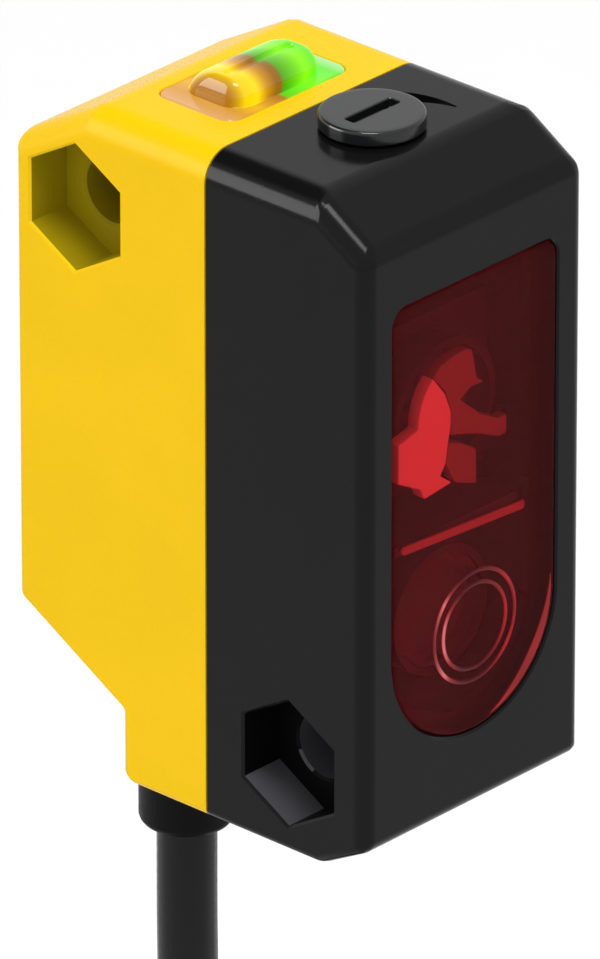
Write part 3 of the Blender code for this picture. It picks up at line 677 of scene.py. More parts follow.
def smooth_line(points: Sequence[Vector], per_span: int) -> list[Vector]:
    """Catmull-Rom line through the points.

    Args:
        points: Points to pass through.
        per_span: Steps between neighbouring points.

    Returns:
        The finer line.
    """
    ends = [points[0] * 2 - points[1], *points, points[-1] * 2 - points[-2]]
    line: list[Vector] = []
    for a, b, c, d in zip(ends, ends[1:], ends[2:], ends[3:]):
        for step in range(per_span):
            t = step / per_span
            line.append(
                0.5 * (2 * b + (c - a) * t + (2 * a - 5 * b + 4 * c - d) * t * t + (3 * b - a - 3 * c + d) * t**3)
            )
    line.append(points[-1].copy())
    return line


# studio and cable


@dataclass
class Studio:
    """Camera, floor and lights. Each lamp has its name, place, size in metres and power in watts."""

    camera_at: Point = (-516.54, -463.45, 325.07)
    ahead: Point = (0.66102, 0.60712, -0.44098)
    lens: float = 630.0
    floor_z: float = -129.5
    surround: float = 1.0
    flag_ahead: Point = (0.03, 0.62, 0.78)
    flag_fade: Flat = (0.87, 0.95)
    flag_level: float = 0.05
    aim: Point = (0.0, 10.0, -15.0)
    lamps: tuple[tuple[str, Point, float, float], ...] = (
        ("top_light", (-110.0, -60.0, 420.0), 0.15, 1.0), ("edge_light", (-280.0, 240.0, 95.0), 0.22, 1.25),
    )
    floor_half: float = 6.0

    def camera(self) -> None:
        """Places the long-lens camera."""
        data = bpy.data.cameras.new("camera")
        data.lens = self.lens
        data.sensor_width = 36.0
        data.clip_start = 0.05
        data.clip_end = 20.0
        eye = link(bpy.data.objects.new("camera", data))
        ahead = Vector(self.ahead).normalized()
        right = ahead.cross(Vector((0, 0, 1))).normalized()
        up = right.cross(ahead)
        turn = Matrix((right, up, -ahead)).transposed().to_4x4()
        eye.matrix_world = Matrix.Translation(LAYOUT.at(*self.camera_at)) @ turn
        bpy.context.scene.camera = eye

    def lights(self) -> None:
        """Adds the white surround with its dark flag, the top light and the side light."""
        world = bpy.data.worlds.new("surround")
        world.use_nodes = True
        tree = world.node_tree
        background = tree.nodes["Background"]
        sky = add(tree, "TexCoord")
        towards = add(
            tree, "VectorMath", {"operation": "DOT_PRODUCT"}, i0=sky.outputs["Generated"],
            i1=Vector(self.flag_ahead).normalized(),
        )
        levels = [(at, (*[level] * 3, 1.0)) for at, level in zip(self.flag_fade, (1.0, self.flag_level))]
        sheet = ramp(tree, towards.outputs["Value"], levels)
        tree.links.new(sheet.outputs[0], background.inputs["Color"])
        background.inputs["Strength"].default_value = self.surround
        bpy.context.scene.world = world
        bpy.context.scene.view_settings.view_transform = "Standard"
        for name, at, size, power in self.lamps:
            data = bpy.data.lights.new(name, "AREA")
            data.size = size
            data.energy = power
            lamp = link(bpy.data.objects.new(name, data))
            spot = LAYOUT.at(*at)
            aim = (LAYOUT.at(*self.aim) - spot).to_track_quat("-Z", "Y")
            lamp.matrix_world = Matrix.Translation(spot) @ aim.to_matrix().to_4x4()
            lamp.visible_diffuse = name == "top_light"

    def floor(self) -> None:
        """Adds a plain pale floor well below the hanging cable."""
        shape = bmesh.new()
        bmesh.ops.create_grid(shape, x_segments=1, y_segments=1, size=self.floor_half)
        bmesh.ops.translate(shape, verts=shape.verts, vec=LAYOUT.at(0.0, 0.0, self.floor_z))
        floor = finish_mesh(shape, "studio_floor")
        floor.data.materials.append(PALE_FLOOR.material())


@dataclass
class FreeCable:
    """Cable below the collar: the hanging lead, the wound bundle with its tie, and the stripped end."""

    radius: float = CABLE_R
    length: float = 2.0
    y: float = CABLE_Y
    exit_z: float = COLLAR_END
    coil_z: float = -92.0
    coil_r: float = 20.3
    layers: int = 4
    laps: int = 15
    lap_steps: int = 36
    start: float = 125.0
    swing: float = 55.0
    inset: float = 0.78
    entry: float = 200.0
    leave: float = 250.0
    tail_z: tuple[float, ...] = (-98.0, -104.0, -110.4)
    tail_end: float = -113.0
    tie_gap: float = 0.3
    tie_strap: Flat = (0.8, 1.4)
    tie_head: Point = (2.2, 1.1, 2.2)
    core_r: float = 0.42
    tip_r: float = 0.25
    lead: tuple[Point, ...] = (
        (0.0, 0.0, -32.8), (0.0, 0.0, -36.5), (0.0, 0.0, -40.0), (0.0, 0.0, -45.5), (0.0, -0.12, -50.5),
        (-0.2, -0.79, -55.3), (-0.7, -2.34, -60.0), (-1.5, -4.8, -63.8), (-2.9, -8.45, -67.6),
    )

    @property
    def half(self) -> float:
        """Half of the bundle's square section."""
        return self.layers * self.radius

    def slots(self) -> list[Flat]:
        """Places of the turns in the bundle, up and down its columns from one outer corner to the other.

        Returns:
            (x, radius) of each turn, millimetres.
        """
        pitch, offset, rows = 2 * self.radius, (self.layers - 1) / 2, range(self.layers)
        return [
            ((column - offset) * pitch, self.coil_r + (row - offset) * pitch)
            for column in rows
            for row in (rows if column % 2 else reversed(rows))
        ]

    def route(self) -> list[Vector]:
        """Centreline of the whole cable, in metres."""
        slots = self.slots()
        start, entry, leave = (math.radians(angle) for angle in (self.start, self.entry, self.leave))
        outer = slots[-1][1]
        line = smooth_line([LAYOUT.at(x, self.y + dy, z) for x, dy, z in self.lead], 5)
        total = math.pi + math.tau * self.laps
        count = round((total - start) / math.tau * self.lap_steps)
        for step in range(count + 1):
            angle = start + (total - start) * step / count
            lap = int((angle - entry) // math.tau) + 1
            inside = (angle - entry) % math.tau
            blend = min(1.0, inside / (leave - entry))
            blend = blend * blend * (3 - 2 * blend)
            if lap <= 0:
                x, radius = slots[0]
                swing = min(1.0, (angle - start) / math.radians(self.swing))
                x *= self.inset + (1 - self.inset) * swing
            else:
                (x0, r0), (x1, r1) = slots[min(lap - 1, len(slots) - 1)], slots[min(lap, len(slots) - 1)]
                x, radius = x0 + (x1 - x0) * blend, r0 + (r1 - r0) * blend
            line.append(LAYOUT.at(x, self.y + radius * math.cos(angle), self.coil_z + radius * math.sin(angle)))
        tail_y, end_x = self.y - outer, slots[-1][0]
        tail = [(end_x, tail_y, z) for z in (self.coil_z, *self.tail_z)]
        tail.append((end_x - 0.05, tail_y + 0.2, self.tail_end))
        line.extend(smooth_line([LAYOUT.at(*p) for p in tail], 4)[1:])
        return line

    def build(self) -> None:
        cord = curve_tube("cable", self.route(), self.radius, 5)
        dress(cord, CABLE_PVC, Body.HOUSING, ("cable_lead", "cable_coil", "cable_tail"))
        tie = self.tie()
        cores = self.cores()
        tuple(LAYOUT.at(0.0, self.y, self.exit_z))

    def tie(self) -> Object:
        """Flat nylon strap with its head round the bundle."""
        inner = self.half + self.tie_gap
        thick, tall = self.tie_strap
        centre = (0.0, self.y + self.coil_r)
        outline = rectangle(inner + thick, inner + thick, 2.2, centre)
        band = extruded(outline, Axis.Z, self.coil_z - tall, self.coil_z + tall)
        strap = finish_mesh(soften(band, 0.2, 60, 2), "coil_tie_strap")
        hole = extruded(rectangle(inner, inner, 1.5, centre), Axis.Z, self.coil_z - 3, self.coil_z + 3)
        carve(strap, [(hole, "DIFFERENCE")])
        y = centre[1] + inner + 0.7
        wide, deep, tall = self.tie_head
        head = extruded(rectangle(wide, deep, 0.3, (0.0, y + 0.6)), Axis.Z, self.coil_z - tall, self.coil_z + tall)
        dress(finish_mesh(soften(head, 0.3), "coil_tie_head"), NYLON_TIE, Body.HOUSING)
        return dress(strap, NYLON_TIE, Body.HOUSING, ("coil_tie",))

    def cores(self) -> list[Object]:
        """Four stripped cores with tinned tips, spreading from the jacket's end."""
        made = []
        tail_x, tail_y = self.half - self.radius, self.y - self.coil_r - self.half + self.radius + 0.2
        for name, dx, dy in (("brown", -1, -1), ("white", -1, 1), ("black", 1, 1), ("blue", 1, -1)):
            spread = ((0.62, -112.0), (0.62, -113.4), (0.8, -115.5), (1.36, -118.5), (1.6, -121.3), (1.67, -123.0))
            line = smooth_line([LAYOUT.at(tail_x + dx * s, tail_y + dy * s, z) for s, z in spread], 6)
            core = curve_tube(f"flying_core_{name}", line[:-6], self.core_r, 4)
            made.append(dress(core, CORES[name], Body.HOUSING, (f"lead_{name}",)))
            tip = curve_tube(f"tinned_tip_{name}", line[-8:], self.tip_r, 3)
            made.append(dress(tip, TIN, Body.HOUSING))
        return made


# housing


@dataclass
class WindowShape:
    """Outline of the window: round upper corners and a half-round lower end."""

    half: float = 5.64
    top: float = -5.4
    length: float = 23.44
    corner_r: float = 0.9
    seat: float = 1.0
    ledge: float = 0.8
    gap: float = 0.06
    lens_z: float = -23.4
    lens_rings: Flat = (2.78, 2.15)
    highlight_from: float = -78.0
    highlight_sweep: float = 84.0
    highlight_depth: float = 0.5

    @property
    def low(self) -> float:
        """Level where the half-round lower end begins."""
        return self.top - self.length + self.half

    def outline(self, inset: float) -> list[Flat]:
        """Returns the outline moved inwards by inset."""
        half, low = self.half - inset, self.low
        radius = self.corner_r - min(inset, 0.4)
        points = rounded(
            [(half, low, 0), (half, self.top - inset, radius), (-half, self.top - inset, radius), (-half, low, 0)], 8
        )
        for step in range(1, 48):
            angle = math.pi + math.pi * step / 48
            points.append((half * math.cos(angle), low + half * math.sin(angle)))
        return points

    def pane(self) -> None:
        """Makes the see-through pane with its rounded front edge."""
        back = self.seat - 0.1
        steps = ((back, 0.1), (back - 0.04, 0.0), (0.22, 0.0), (0.1, 0.03), (0.03, 0.1), (0.0, 0.24))
        shape = tower([(self.outline(self.gap + inset), y) for y, inset in steps], Axis.Y)
        pane = finish_mesh(shape, "window_pane", 40)
        centre = (0.0, 0.0, self.lens_z)
        dress(pane, RED_ACRYLIC, Body.HOUSING, ("front_window",))
        for name, radius in zip(("outer", "inner"), self.lens_rings):
            bead = [(radius - 0.1, 0.02), (radius - 0.07, -0.03), (radius, -0.05), (radius + 0.07, -0.03),
                    (radius + 0.1, 0.02), (radius, 0.05)]
            ring_shape = finish_mesh(turned(bead, centre, Axis.Y, 128), f"window_lens_bead_{name}", 60)
            # the beads are relief on the pane; their bright sides are painted highlights
            dress(ring_shape, RED_BEAD_PAINTED_HIGHLIGHT, Body.HOUSING)
        self.paint_edge_highlight()

    def paint_edge_highlight(self) -> None:
        """Makes a painted highlight: a thin bright crescent along the lower right edge of the pane."""
        reach = self.half - self.gap - 0.3
        outer, inner = [], []
        for step in range(33):
            angle = math.radians(self.highlight_from + self.highlight_sweep * step / 32)
            depth = reach - self.highlight_depth * math.sin(math.pi * step / 32) - 0.02
            outer.append((reach * math.cos(angle), self.low + reach * math.sin(angle)))
            inner.append((depth * math.cos(angle), self.low + depth * math.sin(angle)))
        shape = extruded(outer + inner[::-1], Axis.Y, -0.015, 0.04)
        dress(finish_mesh(shape, "window_painted_edge_highlight"), RED_PAINTED_HIGHLIGHT, Body.HOUSING)


@dataclass
class Shell:
    """Moulded half of the housing, with one screw tunnel across it.

    The tunnel has a round bore from side to side and a hexagonal nut pocket in the -X side.
    """

    width: float = 15.0
    height: float = 34.0
    wall: float = 1.1
    bore_r: float = 1.65
    boss_r: float = 2.6
    nut_flats: float = 5.62
    nut_depth: float = 2.5
    nut_boss_r: float = 3.65
    mouth: float = 0.12

    @property
    def inner(self) -> float:
        """Half of the clear width inside."""
        return self.width / 2 - self.wall

    def block(self, name: str, corners: Sequence[tuple[float, float, float, float]]) -> Object:
        """Solid block with its own radius on every edge.

        Args:
            name: Object name.
            corners: (y, z, radius of the side edge that leaves the corner, radius of the bend at the corner).

        Returns:
            The block with a live Bevel modifier.
        """
        half = self.width / 2
        shape = extruded([(y, z) for y, z, _, _ in corners], Axis.X, -half, half)
        weight = shape.edges.layers.float.new("bevel_weight_edge")
        places = [LAYOUT.at(0.0, y, z) for y, z, _, _ in corners]

        def corner_of(vertex: BMVert) -> int:
            """Index of the outline corner that a vertex came from."""
            return min(range(len(places)), key=lambda i: (places[i].yz - vertex.co.yz).length)

        widest = max(max(corner[2:]) for corner in corners)
        for edge in shape.edges:
            first, last = (corner_of(v) for v in edge.verts)
            if first == last:
                edge[weight] = corners[first][3] / widest
            else:
                start = first if (first + 1) % len(corners) == last else last
                edge[weight] = corners[start][2] / widest
        block = finish_mesh(shape, name)
        bevel = block.modifiers.new("edges", "BEVEL")
        bevel.limit_method = "WEIGHT"
        bevel.width = widest * MM
        bevel.segments = 8
        bevel.use_clamp_overlap = False
        return block

    def hexagon(self, flats: float, centre: Flat) -> list[Flat]:
        """Hexagon with a corner up, in the side plane."""
        radius = flats / math.sqrt(3)
        angles = [math.radians(90 + 60 * i) for i in range(6)]
        return [(centre[0] + radius * math.cos(a), centre[1] + radius * math.sin(a)) for a in angles]

    def paint_pocket_light_and_shade(self, shell: Object, centre: Flat, finish: Finish, lit_finish: Finish) -> None:
        """Gives the walls of the nut pocket painted shade, and the bore and the wall that faces up and forwards a
        second finish, which is painted light in the black shell.

        Args:
            shell: Finished shell, already dressed.
            centre: Middle of the pocket in the side plane, millimetres.
            finish: Painted shade on its walls.
            lit_finish: Finish of the bore and of the wall that faces up and forwards.
        """
        for walls in (finish, lit_finish):
            shell.data.materials.append(walls.material())
        reach = self.nut_flats / math.sqrt(3) + self.mouth
        for face in shell.data.polygons:
            x, y, z = (face.center - LAYOUT.origin) / MM
            away = math.hypot(y - centre[0], z - centre[1])
            sunk = 1.2 * self.mouth - self.width / 2 < x < self.width / 2 - self.mouth
            pocket = away < reach and x < self.nut_depth + 0.2 - self.width / 2
            bore = away < self.bore_r + 0.1 and abs(face.normal.x) < 0.5
            if sunk and (pocket or bore):
                # the wall that faces up and forwards takes the painted light
                lit_wall = face.normal.z > 0.3 and face.normal.y < -0.3
                face.material_index = 2 if lit_wall or bore else 1

    def tunnel(self, centre: Flat) -> list[tuple[BMesh, str]]:
        """Tools for the boss, the bore and the nut pocket, with softly broken mouths."""
        middle = (0.0, *centre)
        side, inside, m = self.width / 2, self.width / 2 - self.wall / 2, self.mouth
        boss = cylinder(self.boss_r, -inside, inside, middle, Axis.X, 64)
        nut_boss = cylinder(self.nut_boss_r, -inside, -side + self.nut_depth + 1.0, middle, Axis.X, 64)
        r = self.bore_r
        floor = -side + self.nut_depth
        bore = turned(
            [
                (0, -side - 1), (r + 0.5, -side - 1), (r + 0.5, floor - 0.2), (r + m, floor), (r, floor + m),
                (r, side - m), (r + m, side), (r + m, side + 1), (0, side + 1),
            ],
            middle, Axis.X, 72,
        )
        wide, plain = self.hexagon(self.nut_flats + 2 * m, centre), self.hexagon(self.nut_flats, centre)
        pocket = tower([(wide, -side - 1), (wide, -side), (plain, -side + m), (plain, floor)], Axis.X)
        return [(boss, "UNION"), (nut_boss, "UNION"), (pocket, "DIFFERENCE"), (bore, "DIFFERENCE")]


@dataclass
class FrontShell(Shell):
    """Black half: chamfered face with the window seat, the adjuster bore and the lower screw tunnel."""

    rear: float = 9.95
    face: float = 1.6
    roof: float = 1.4
    chamfer: Flat = (3.4, 2.1)
    toe: Flat = (2.8, 1.5)
    screw: Flat = (4.86, -29.47)
    shaft_bore_r: float = 1.3
    mark_from: float = -18.0
    mark_sweep: float = 50.0
    mark_r: float = 4.5
    window: WindowShape = field(default_factory=WindowShape)

    def hollow(self) -> BMesh:
        """Space inside the shell, open at the seam."""
        back, drop = self.chamfer
        slope = drop / back
        level = -drop - self.wall * math.hypot(back, drop) / back
        low = -self.height + self.wall
        flat = [
            (self.face, level + slope * self.face), ((-self.roof - level) / slope, -self.roof),
            (self.rear + 1, -self.roof), (self.rear + 1, low), (self.toe[0] + 0.2, low), (self.face, low + 0.7),
        ]
        return extruded(flat, Axis.X, -self.inner, self.inner)

    def direction_mark(self) -> BMesh:
        """Curved wedge sunk beside the knob, thin at one end."""
        outer, inner = [], []
        for step in range(21):
            share = step / 20
            angle = self.mark_from + self.mark_sweep * share
            far = self.mark_r - 0.42 * min(1.0, max(0.0, (angle - self.mark_from) / 40))
            turn = math.radians(angle)
            for side, radius in ((outer, far), (inner, far - 0.12 - 0.75 * min(1.0, share * 2.2))):
                side.append((radius * math.cos(turn), KNOB_Y + radius * math.sin(turn)))
        return extruded(outer + inner[::-1], Axis.Z, -0.3, 1.0)

    def build(self) -> None:
        """Makes the black half."""
        back, drop = self.chamfer
        toe_y, toe_z = self.toe
        shell = self.block(
            "front_shell",
            [
                (0.0, -drop, 1.1, 0.7), (back, 0.0, 1.5, 0.5), (self.rear, 0.0, 0.0, 0.0),
                (self.rear, -self.height, 0.4, 0.0), (toe_y, -self.height, 0.5, 0.4),
                (0.0, -self.height + toe_z, 0.75, 0.4),
            ],
        )
        pane, m = self.window, 0.1
        mouth, snug = pane.outline(-m), pane.outline(0.0)
        seat = tower([(mouth, -0.6), (mouth, 0.0), (snug, m), (snug, pane.seat)], Axis.Y)
        aperture = extruded(pane.outline(pane.ledge), Axis.Y, -1.0, self.face + 0.3)
        knob = (0.0, KNOB_Y, 0.0)
        collar = cylinder(self.shaft_bore_r + 0.9, -3.2, -0.9, knob)
        bore = cylinder(self.shaft_bore_r, -4.0, 1.0, knob)
        tools = [(self.hollow(), "DIFFERENCE"), (collar, "UNION"), *self.tunnel(self.screw)]
        tools += [(tool, "DIFFERENCE") for tool in (seat, aperture, bore, self.direction_mark())]
        dress(carve(shell, tools), BLACK_ABS, Body.HOUSING, ("front_housing",))
        # painted shade in the nut pocket, painted light on its bore and upward wall
        self.paint_pocket_light_and_shade(shell, self.screw, BLACK_PAINTED_SHADE, BLACK_PAINTED_LIGHT)


@dataclass
class RearShell(Shell):
    """Yellow half: indicator opening, upper screw tunnel, and the slanted underside with the cable hole."""

    front: float = 10.05
    depth: float = 22.0
    roof: float = 1.6
    chamfer: Flat = (4.7, 2.65)
    step: float = 6.6
    step_low: float = 3.7
    slope: float = 3.8
    screw: Flat = (CABLE_Y, -5.25)
    collar_r: float = 1.9

    @property
    def slope_z(self) -> float:
        """Level where the slanted underside meets the back."""
        return -self.height + self.step_low + self.slope

    def hollow(self) -> BMesh:
        """Space inside the shell, open at the seam."""
        back, drop = self.chamfer
        roof = drop / back
        roof_z = -self.wall * math.hypot(1, roof) + roof * (self.depth - back)
        under = self.slope / self.step
        under_z = self.slope_z + self.wall * math.hypot(1, under)
        step_y, rear = self.depth - self.step, self.depth - self.wall
        flat = [
            (self.front - 1, -self.roof), ((roof_z + self.roof) / roof, -self.roof), (rear, roof_z - roof * rear),
            (rear, under_z - under * self.wall), (step_y - self.wall, under_z - under * (self.step + self.wall)),
            (step_y - self.wall, -self.height + self.wall), (self.front - 1, -self.height + self.wall),
        ]
        return extruded(flat, Axis.X, -self.inner, self.inner)

    def build(self) -> None:
        """Makes the yellow half."""
        back, drop = self.chamfer
        step_y = self.depth - self.step
        shell = self.block(
            "rear_shell",
            [
                (self.front, 0.0, 1.5, 0.0), (self.depth - back, 0.0, 1.2, 0.4), (self.depth, -drop, 0.4, 0.4),
                (self.depth, self.slope_z, 0.4, 0.4), (step_y, self.slope_z - self.slope, 0.4, 0.3),
                (step_y, -self.height, 0.4, 0.9), (self.front, -self.height, 0.0, 0.0),
            ],
        )
        half_x, half_y = COVER_SEAT
        place = (0.0, COVER_Y)
        m = 0.05
        seat = tower(
            (rectangle(half_x + i, half_y + i, 0.8 + i, place), z)
            for i, z in ((m, 1.0), (m, 0.0), (0.0, -m), (0.0, -0.9))
        )
        slot = extruded(rectangle(half_x - 0.5, half_y - 0.525, 0.5, place), Axis.Z, -2.2, 1.0)
        hole = cylinder(self.collar_r + 0.1, -5.0, 2.5, (0.0, CABLE_Y, self.slope_z))
        tools = [(self.hollow(), "DIFFERENCE"), *self.tunnel(self.screw)]
        tools += [(tool, "DIFFERENCE") for tool in (seat, slot, hole)]
        dress(carve(shell, tools), YELLOW_ABS, Body.HOUSING, ("rear_housing",))
        # painted shade in the nut pocket and bore
        self.paint_pocket_light_and_shade(shell, self.screw, YELLOW_PAINTED_SHADE, YELLOW_PAINTED_SHADE)


# indicator and adjuster


@dataclass
class LightCover:
    """Clear indicator cover: a flush flange, a rounded barrel along it and a sunk racetrack on its crown."""

    crown: float = 1.25
    lean: float = 0.4
    end: float = 1.1
    taper: Flat = (0.6, 1.435)
    crown_r: float = 0.35
    crown_side: float = 2.0

    def outline(self, half_x: float, half_y: float, radius: float, lean: float = 0.0) -> list[Flat]:
        """Rounded rectangle about the cover's middle, leaning towards the front."""
        return rectangle(half_x, half_y, radius, (0.0, COVER_Y - lean), 10)

    def build(self) -> None:
        """Makes the flange and the lit barrel."""
        x, y = (seat - COVER_GAP for seat in COVER_SEAT)
        flange = tower(
            (self.outline(x + dx, y + dy, r), z)
            for dx, dy, r, z in (
                (-0.54, -0.565, 0.4, -1.5), (-0.54, -0.565, 0.4, -0.84), (0, 0, 0.75, -0.84),
                (0, 0, 0.75, -0.06), (-0.05, -0.05, 0.72, 0.0),
            )
        )
        dress(finish_mesh(flange, "light_cover_flange", 35), LIT_FLANGE, Body.HOUSING)
        end = x - self.end
        taper_x, taper_y = self.taper
        top_x, top_y = end - taper_x, y - self.crown_side
        levels = [(self.outline(end + 0.04, y - 0.52, 1.14), 0.004)]
        for step in range(12):
            angle = math.pi / 2 * step / 11
            fall, rise = math.cos(angle), math.sin(angle)
            radius = self.crown_r + 0.75 * fall
            flat = self.outline(top_x + taper_x * fall, top_y + taper_y * fall, radius, self.lean * rise)
            levels.append((flat, 0.03 + (self.crown - 0.03) * rise))
        for inset, radius, sink in ((0.1, 0.28, 0.0), (0.16, 0.22, 0.14), (0.3, 0.1, 0.16)):
            levels.append((self.outline(top_x - inset, top_y - inset, radius, self.lean), self.crown - sink))
        barrel = finish_mesh(tower(levels), "light_cover_barrel", 35)
        dress(barrel, LIT_COVER, Body.HOUSING, ("indicator_dome",))


@dataclass
class Adjuster:
    """Slotted knob on its shaft, with the drive screw below."""

    knob_r: float = 2.52
    top: float = 0.85
    shaft_r: float = 1.1
    screw_r: float = 0.8
    edge_r: float = 0.16
    slot_half: float = 0.34
    slot_depth: float = 0.5
    threads: int = 14
    thread_top: float = -4.7
    pitch: float = 0.35

    def build(self) -> None:
        """Makes the knob and its screw."""
        centre = (0.0, KNOB_Y, 0.0)
        r, e, s = self.knob_r, self.edge_r, self.shaft_r
        rim = [
            (r - e + e * math.sin(a), self.top - e + e * math.cos(a))
            for a in (math.pi / 2 * i / 6 for i in range(7))
        ]
        shape = turned(
            [(0.0, self.top), (r - e - 0.25, self.top), *rim, (r, 0.2), (r - 0.08, 0.12), (s, 0.12), (s, -1.6),
             (s - 0.3, -1.6), (s - 0.3, -2.3), (s, -2.3), (s, -3.4), (s - 0.35, -3.4), (s - 0.35, -3.8), (s, -3.8),
             (s, -4.3), (self.screw_r - 0.1, -4.45), (0.0, -4.45)],
            centre,
        )
        knob = finish_mesh(shape, "adjuster_cap")
        half = r - 0.95
        slot = tower(
            (rectangle(half + i, self.slot_half + i, 0.12 + i, (0.0, KNOB_Y)), z)
            for i, z in ((0.05, 1.5), (0.05, self.top), (0.0, self.top - 0.05), (0.0, self.top - 0.45),
                         (-0.06, self.top - self.slot_depth))
        )
        dress(carve(knob, [(slot, "DIFFERENCE")]), KNOB_NYLON, Body.ADJUSTER, ("adjuster_knob",))
        thread = [(0.0, -4.44), (self.screw_r, -4.6)]
        for turn in range(self.threads):
            z = self.thread_top - self.pitch * turn
            thread += [(self.screw_r, z), (self.screw_r - 0.14, z - 0.12), (self.screw_r - 0.14, z - 0.18),
                       (self.screw_r, z - 0.3)]
        thread += [(self.screw_r, -9.7), (0.65, -9.9), (0.0, -9.9)]
        screw = finish_mesh(turned(thread, centre, Axis.Z, 48), "adjuster_drive_screw")
        dress(screw, STEEL, Body.ADJUSTER)


# optics behind the window


@dataclass
class Optics:
    """Parts seen through the window: the carriage's moulded face, the two lenses and the light-stop rib."""

    receiver_z: float = -12.8
    emitter_z: float = -23.3
    face_y: float = 1.15

    def relief(self, name: str, flat: Sequence[Flat], finish: Finish, front: float, depth: float) -> None:
        """Raised moulding on the carriage face."""
        shape = soften(extruded(flat, Axis.Y, front, front + depth), 0.08, 50, 2)
        dress(finish_mesh(shape, name), finish, Body.CARRIAGE)

    def receiver(self) -> None:
        """Makes the carriage face round the receiver and its clear lens; its grey faces are painted shade."""
        arc = []
        for step in range(13):
            angle = math.radians(131 + 50 * step / 12)
            arc.append((0.3 + 2.95 * math.cos(angle), -12.75 + 2.95 * math.sin(angle)))
        bright = [
            *arc, (-4.0, -13.1), (-4.0, -15.1), (-2.5, -15.9), (-2.2, -16.5), (-0.3, -16.3), (-1.1, -15.7),
            (-0.75, -15.2), (-0.6, -14.3), (-0.4, -13.35), (-0.4, -12.6), (-0.8, -11.6),
        ]
        self.relief("carriage_bright_face", bright, WHITE_POM, self.face_y, 0.7)
        shade = [
            (-1.6, -10.55), (-1.1, -10.1), (-0.15, -9.9), (0.6, -9.85), (1.1, -10.0), (1.45, -11.6), (1.95, -11.95),
            (1.0, -11.9), (0.3, -12.3), (1.7, -13.5), (2.9, -14.15), (3.5, -14.15), (3.5, -15.1), (3.0, -15.15),
            (1.6, -14.5), (-0.3, -13.9), (-0.35, -12.6), (-0.75, -11.5),
        ]
        self.relief("carriage_shaded_face", shade, ACETAL_PAINTED_SHADE, self.face_y + 0.05, 0.6)
        leg = [(-0.5, -14.2), (0.5, -14.6), (1.4, -15.2), (1.45, -17.0), (0.1, -16.5), (-0.2, -16.2), (-0.7, -15.2)]
        self.relief("carriage_leg", leg, ACETAL_PAINTED_SHADE, self.face_y + 0.05, 0.6)
        crown = [(2.5 * i / 10, 2.0 + 0.25 * (i / 10) ** 2) for i in range(11)]
        lens = turned([*crown, (2.9, 2.3), (2.98, 2.4), (2.98, 3.1), (0, 3.1)], (0, 0, self.receiver_z), Axis.Y)
        dress(finish_mesh(lens, "receiver_lens_clear"), CLEAR_ACRYLIC, Body.CARRIAGE, ("receiver_lens",))

    def emitter(self) -> None:
        """Makes the emitter lens."""
        centre = (0, 0, self.emitter_z)
        crown = [(2.2 * i / 10, 1.5 + 0.6 * (i / 10) ** 2) for i in range(11)]
        lens = turned([*crown, (2.78, 2.2), (2.82, 2.25), (2.82, 3.0), (0, 3.0)], centre, Axis.Y)
        dress(finish_mesh(lens, "emitter_lens_clear"), CLEAR_ACRYLIC, Body.HOUSING, ("emitter_lens",))

    def rib(self) -> None:
        """Makes the light stop's front edge between the two channels as a pale piece, a painted highlight."""
        edge = [(-3.8, -18.35), (4.55, -18.9), (4.6, -19.2), (4.5, -19.35), (-3.75, -18.8), (-3.95, -18.55)]
        shape = soften(extruded(edge, Axis.Y, 1.02, 1.17), 0.05, 50, 2)
        dress(finish_mesh(shape, "light_stop_edge"), PBT_PAINTED_HIGHLIGHT, Body.HOUSING)

    def build(self) -> None:
        """Makes all the optics."""
        self.receiver()
        self.emitter()
        self.rib()


# cable collar


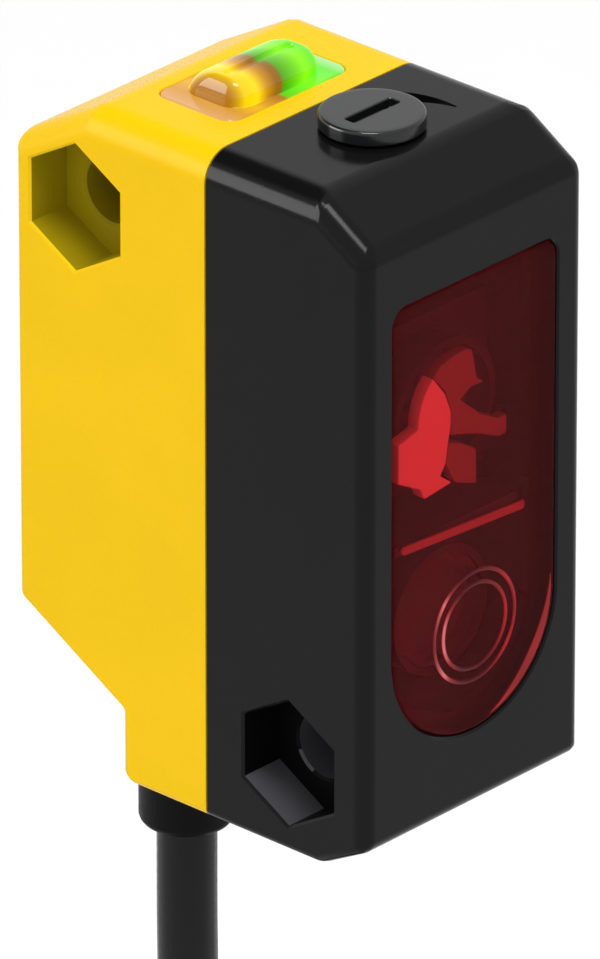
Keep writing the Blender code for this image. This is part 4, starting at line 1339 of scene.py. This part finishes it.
@dataclass
class Collar:
    """Soft cable collar moulded through the slanted underside."""

    radius: float = 2.3
    neck_r: float = 1.9
    flange_r: float = 2.46
    core_way_r: float = 1.05
    slope_z: float = -26.5
    slope: Flat = (6.6, 3.8)

    def build(self) -> None:
        """Makes the collar with its neck, inner flange and cable way."""
        centre = (0.0, CABLE_Y, 0.0)
        r, z = self.radius, COLLAR_END
        collar = finish_mesh(
            turned(
                [(0, self.slope_z + 0.5), (r, self.slope_z + 0.5), (r, z + 0.4), (r - 0.06, z + 0.22),
                 (r - 0.17, z + 0.08), (r - 0.35, z), (0, z)],
                centre, Axis.Z, 80,
            ),
            "cable_collar",
        )
        slope = self.slope[1] / self.slope[0]
        under = self.slope_z - 0.15 * math.hypot(1, slope)
        above = extruded(
            [(10.4, under - slope * 11.6), (26.0, under + slope * 4), (26.0, -14.0), (10.4, -14.0)], Axis.X, -4, 4
        )
        neck = cylinder(self.neck_r, self.slope_z - 5.5, self.slope_z + 1.3, centre, Axis.Z, 64)
        flange = cylinder(self.flange_r, self.slope_z + 0.9, self.slope_z + 1.7, centre, Axis.Z, 64)
        way = CABLE_R + 0.05
        jacket = turned(
            [(0, z - 1.2), (way + 0.1, z - 1.2), (way + 0.1, z), (way, z + 0.1), (way, z + 7.1), (0, z + 7.1)],
            centre, Axis.Z, 64,
        )
        cores = cylinder(self.core_way_r, z + 5.8, self.slope_z + 3.5, centre)
        tools = [(above, "DIFFERENCE"), (neck, "UNION"), (flange, "UNION"), (jacket, "DIFFERENCE"),
                 (cores, "DIFFERENCE")]
        dress(carve(collar, tools), BOOT_PVC, Body.HOUSING, ("cable_boot",))


def finish_kept_nodes() -> None:
    """Gives every CAD node that still shows its real material; the dark grey of the carriage and chassis is darkened
    as painted shade.
    """
    kept = {
        "adjuster_seal": NITRILE, "retaining_clip": STEEL, "lens_carriage": DARK_PBT_PAINTED_SHADE, "drive_nut": BRASS,
        "optical_chassis": DARK_PBT_PAINTED_SHADE, "guide_rod_left": STEEL, "guide_rod_right": STEEL, "emitter_led": CLEAR_ACRYLIC,
        "main_board": BOARD, "photodiode": CHIP, "control_chip": CHIP, "voltage_regulator": CHIP,
        "output_transistor_npn": CHIP, "output_transistor_pnp": CHIP, "capacitor_a": CERAMIC,
        "capacitor_b": CERAMIC, "indicator_board": BOARD, "indicator_led_amber": LAMP_AMBER,
        "indicator_led_green": LAMP_GREEN, "crimp_ring": STEEL,
    }
    for colour, finish in CORES.items():
        kept[f"wire_{colour}"] = finish
    for node, finish in kept.items():
        keep(node, finish)


def main() -> None:
    """Builds the studio, the cable and every part of the sensor."""
    logging.basicConfig(level=logging.INFO, format="%(message)s")
    studio = Studio()
    studio.camera()
    FreeCable().build()
    studio.lights()
    studio.floor()
    for part in (FrontShell(), RearShell(), LightCover(), Adjuster(), Optics(), Collar()):
        part.build()
    WindowShape().pane()
    finish_kept_nodes()


if __name__ == "__main__":
    main()
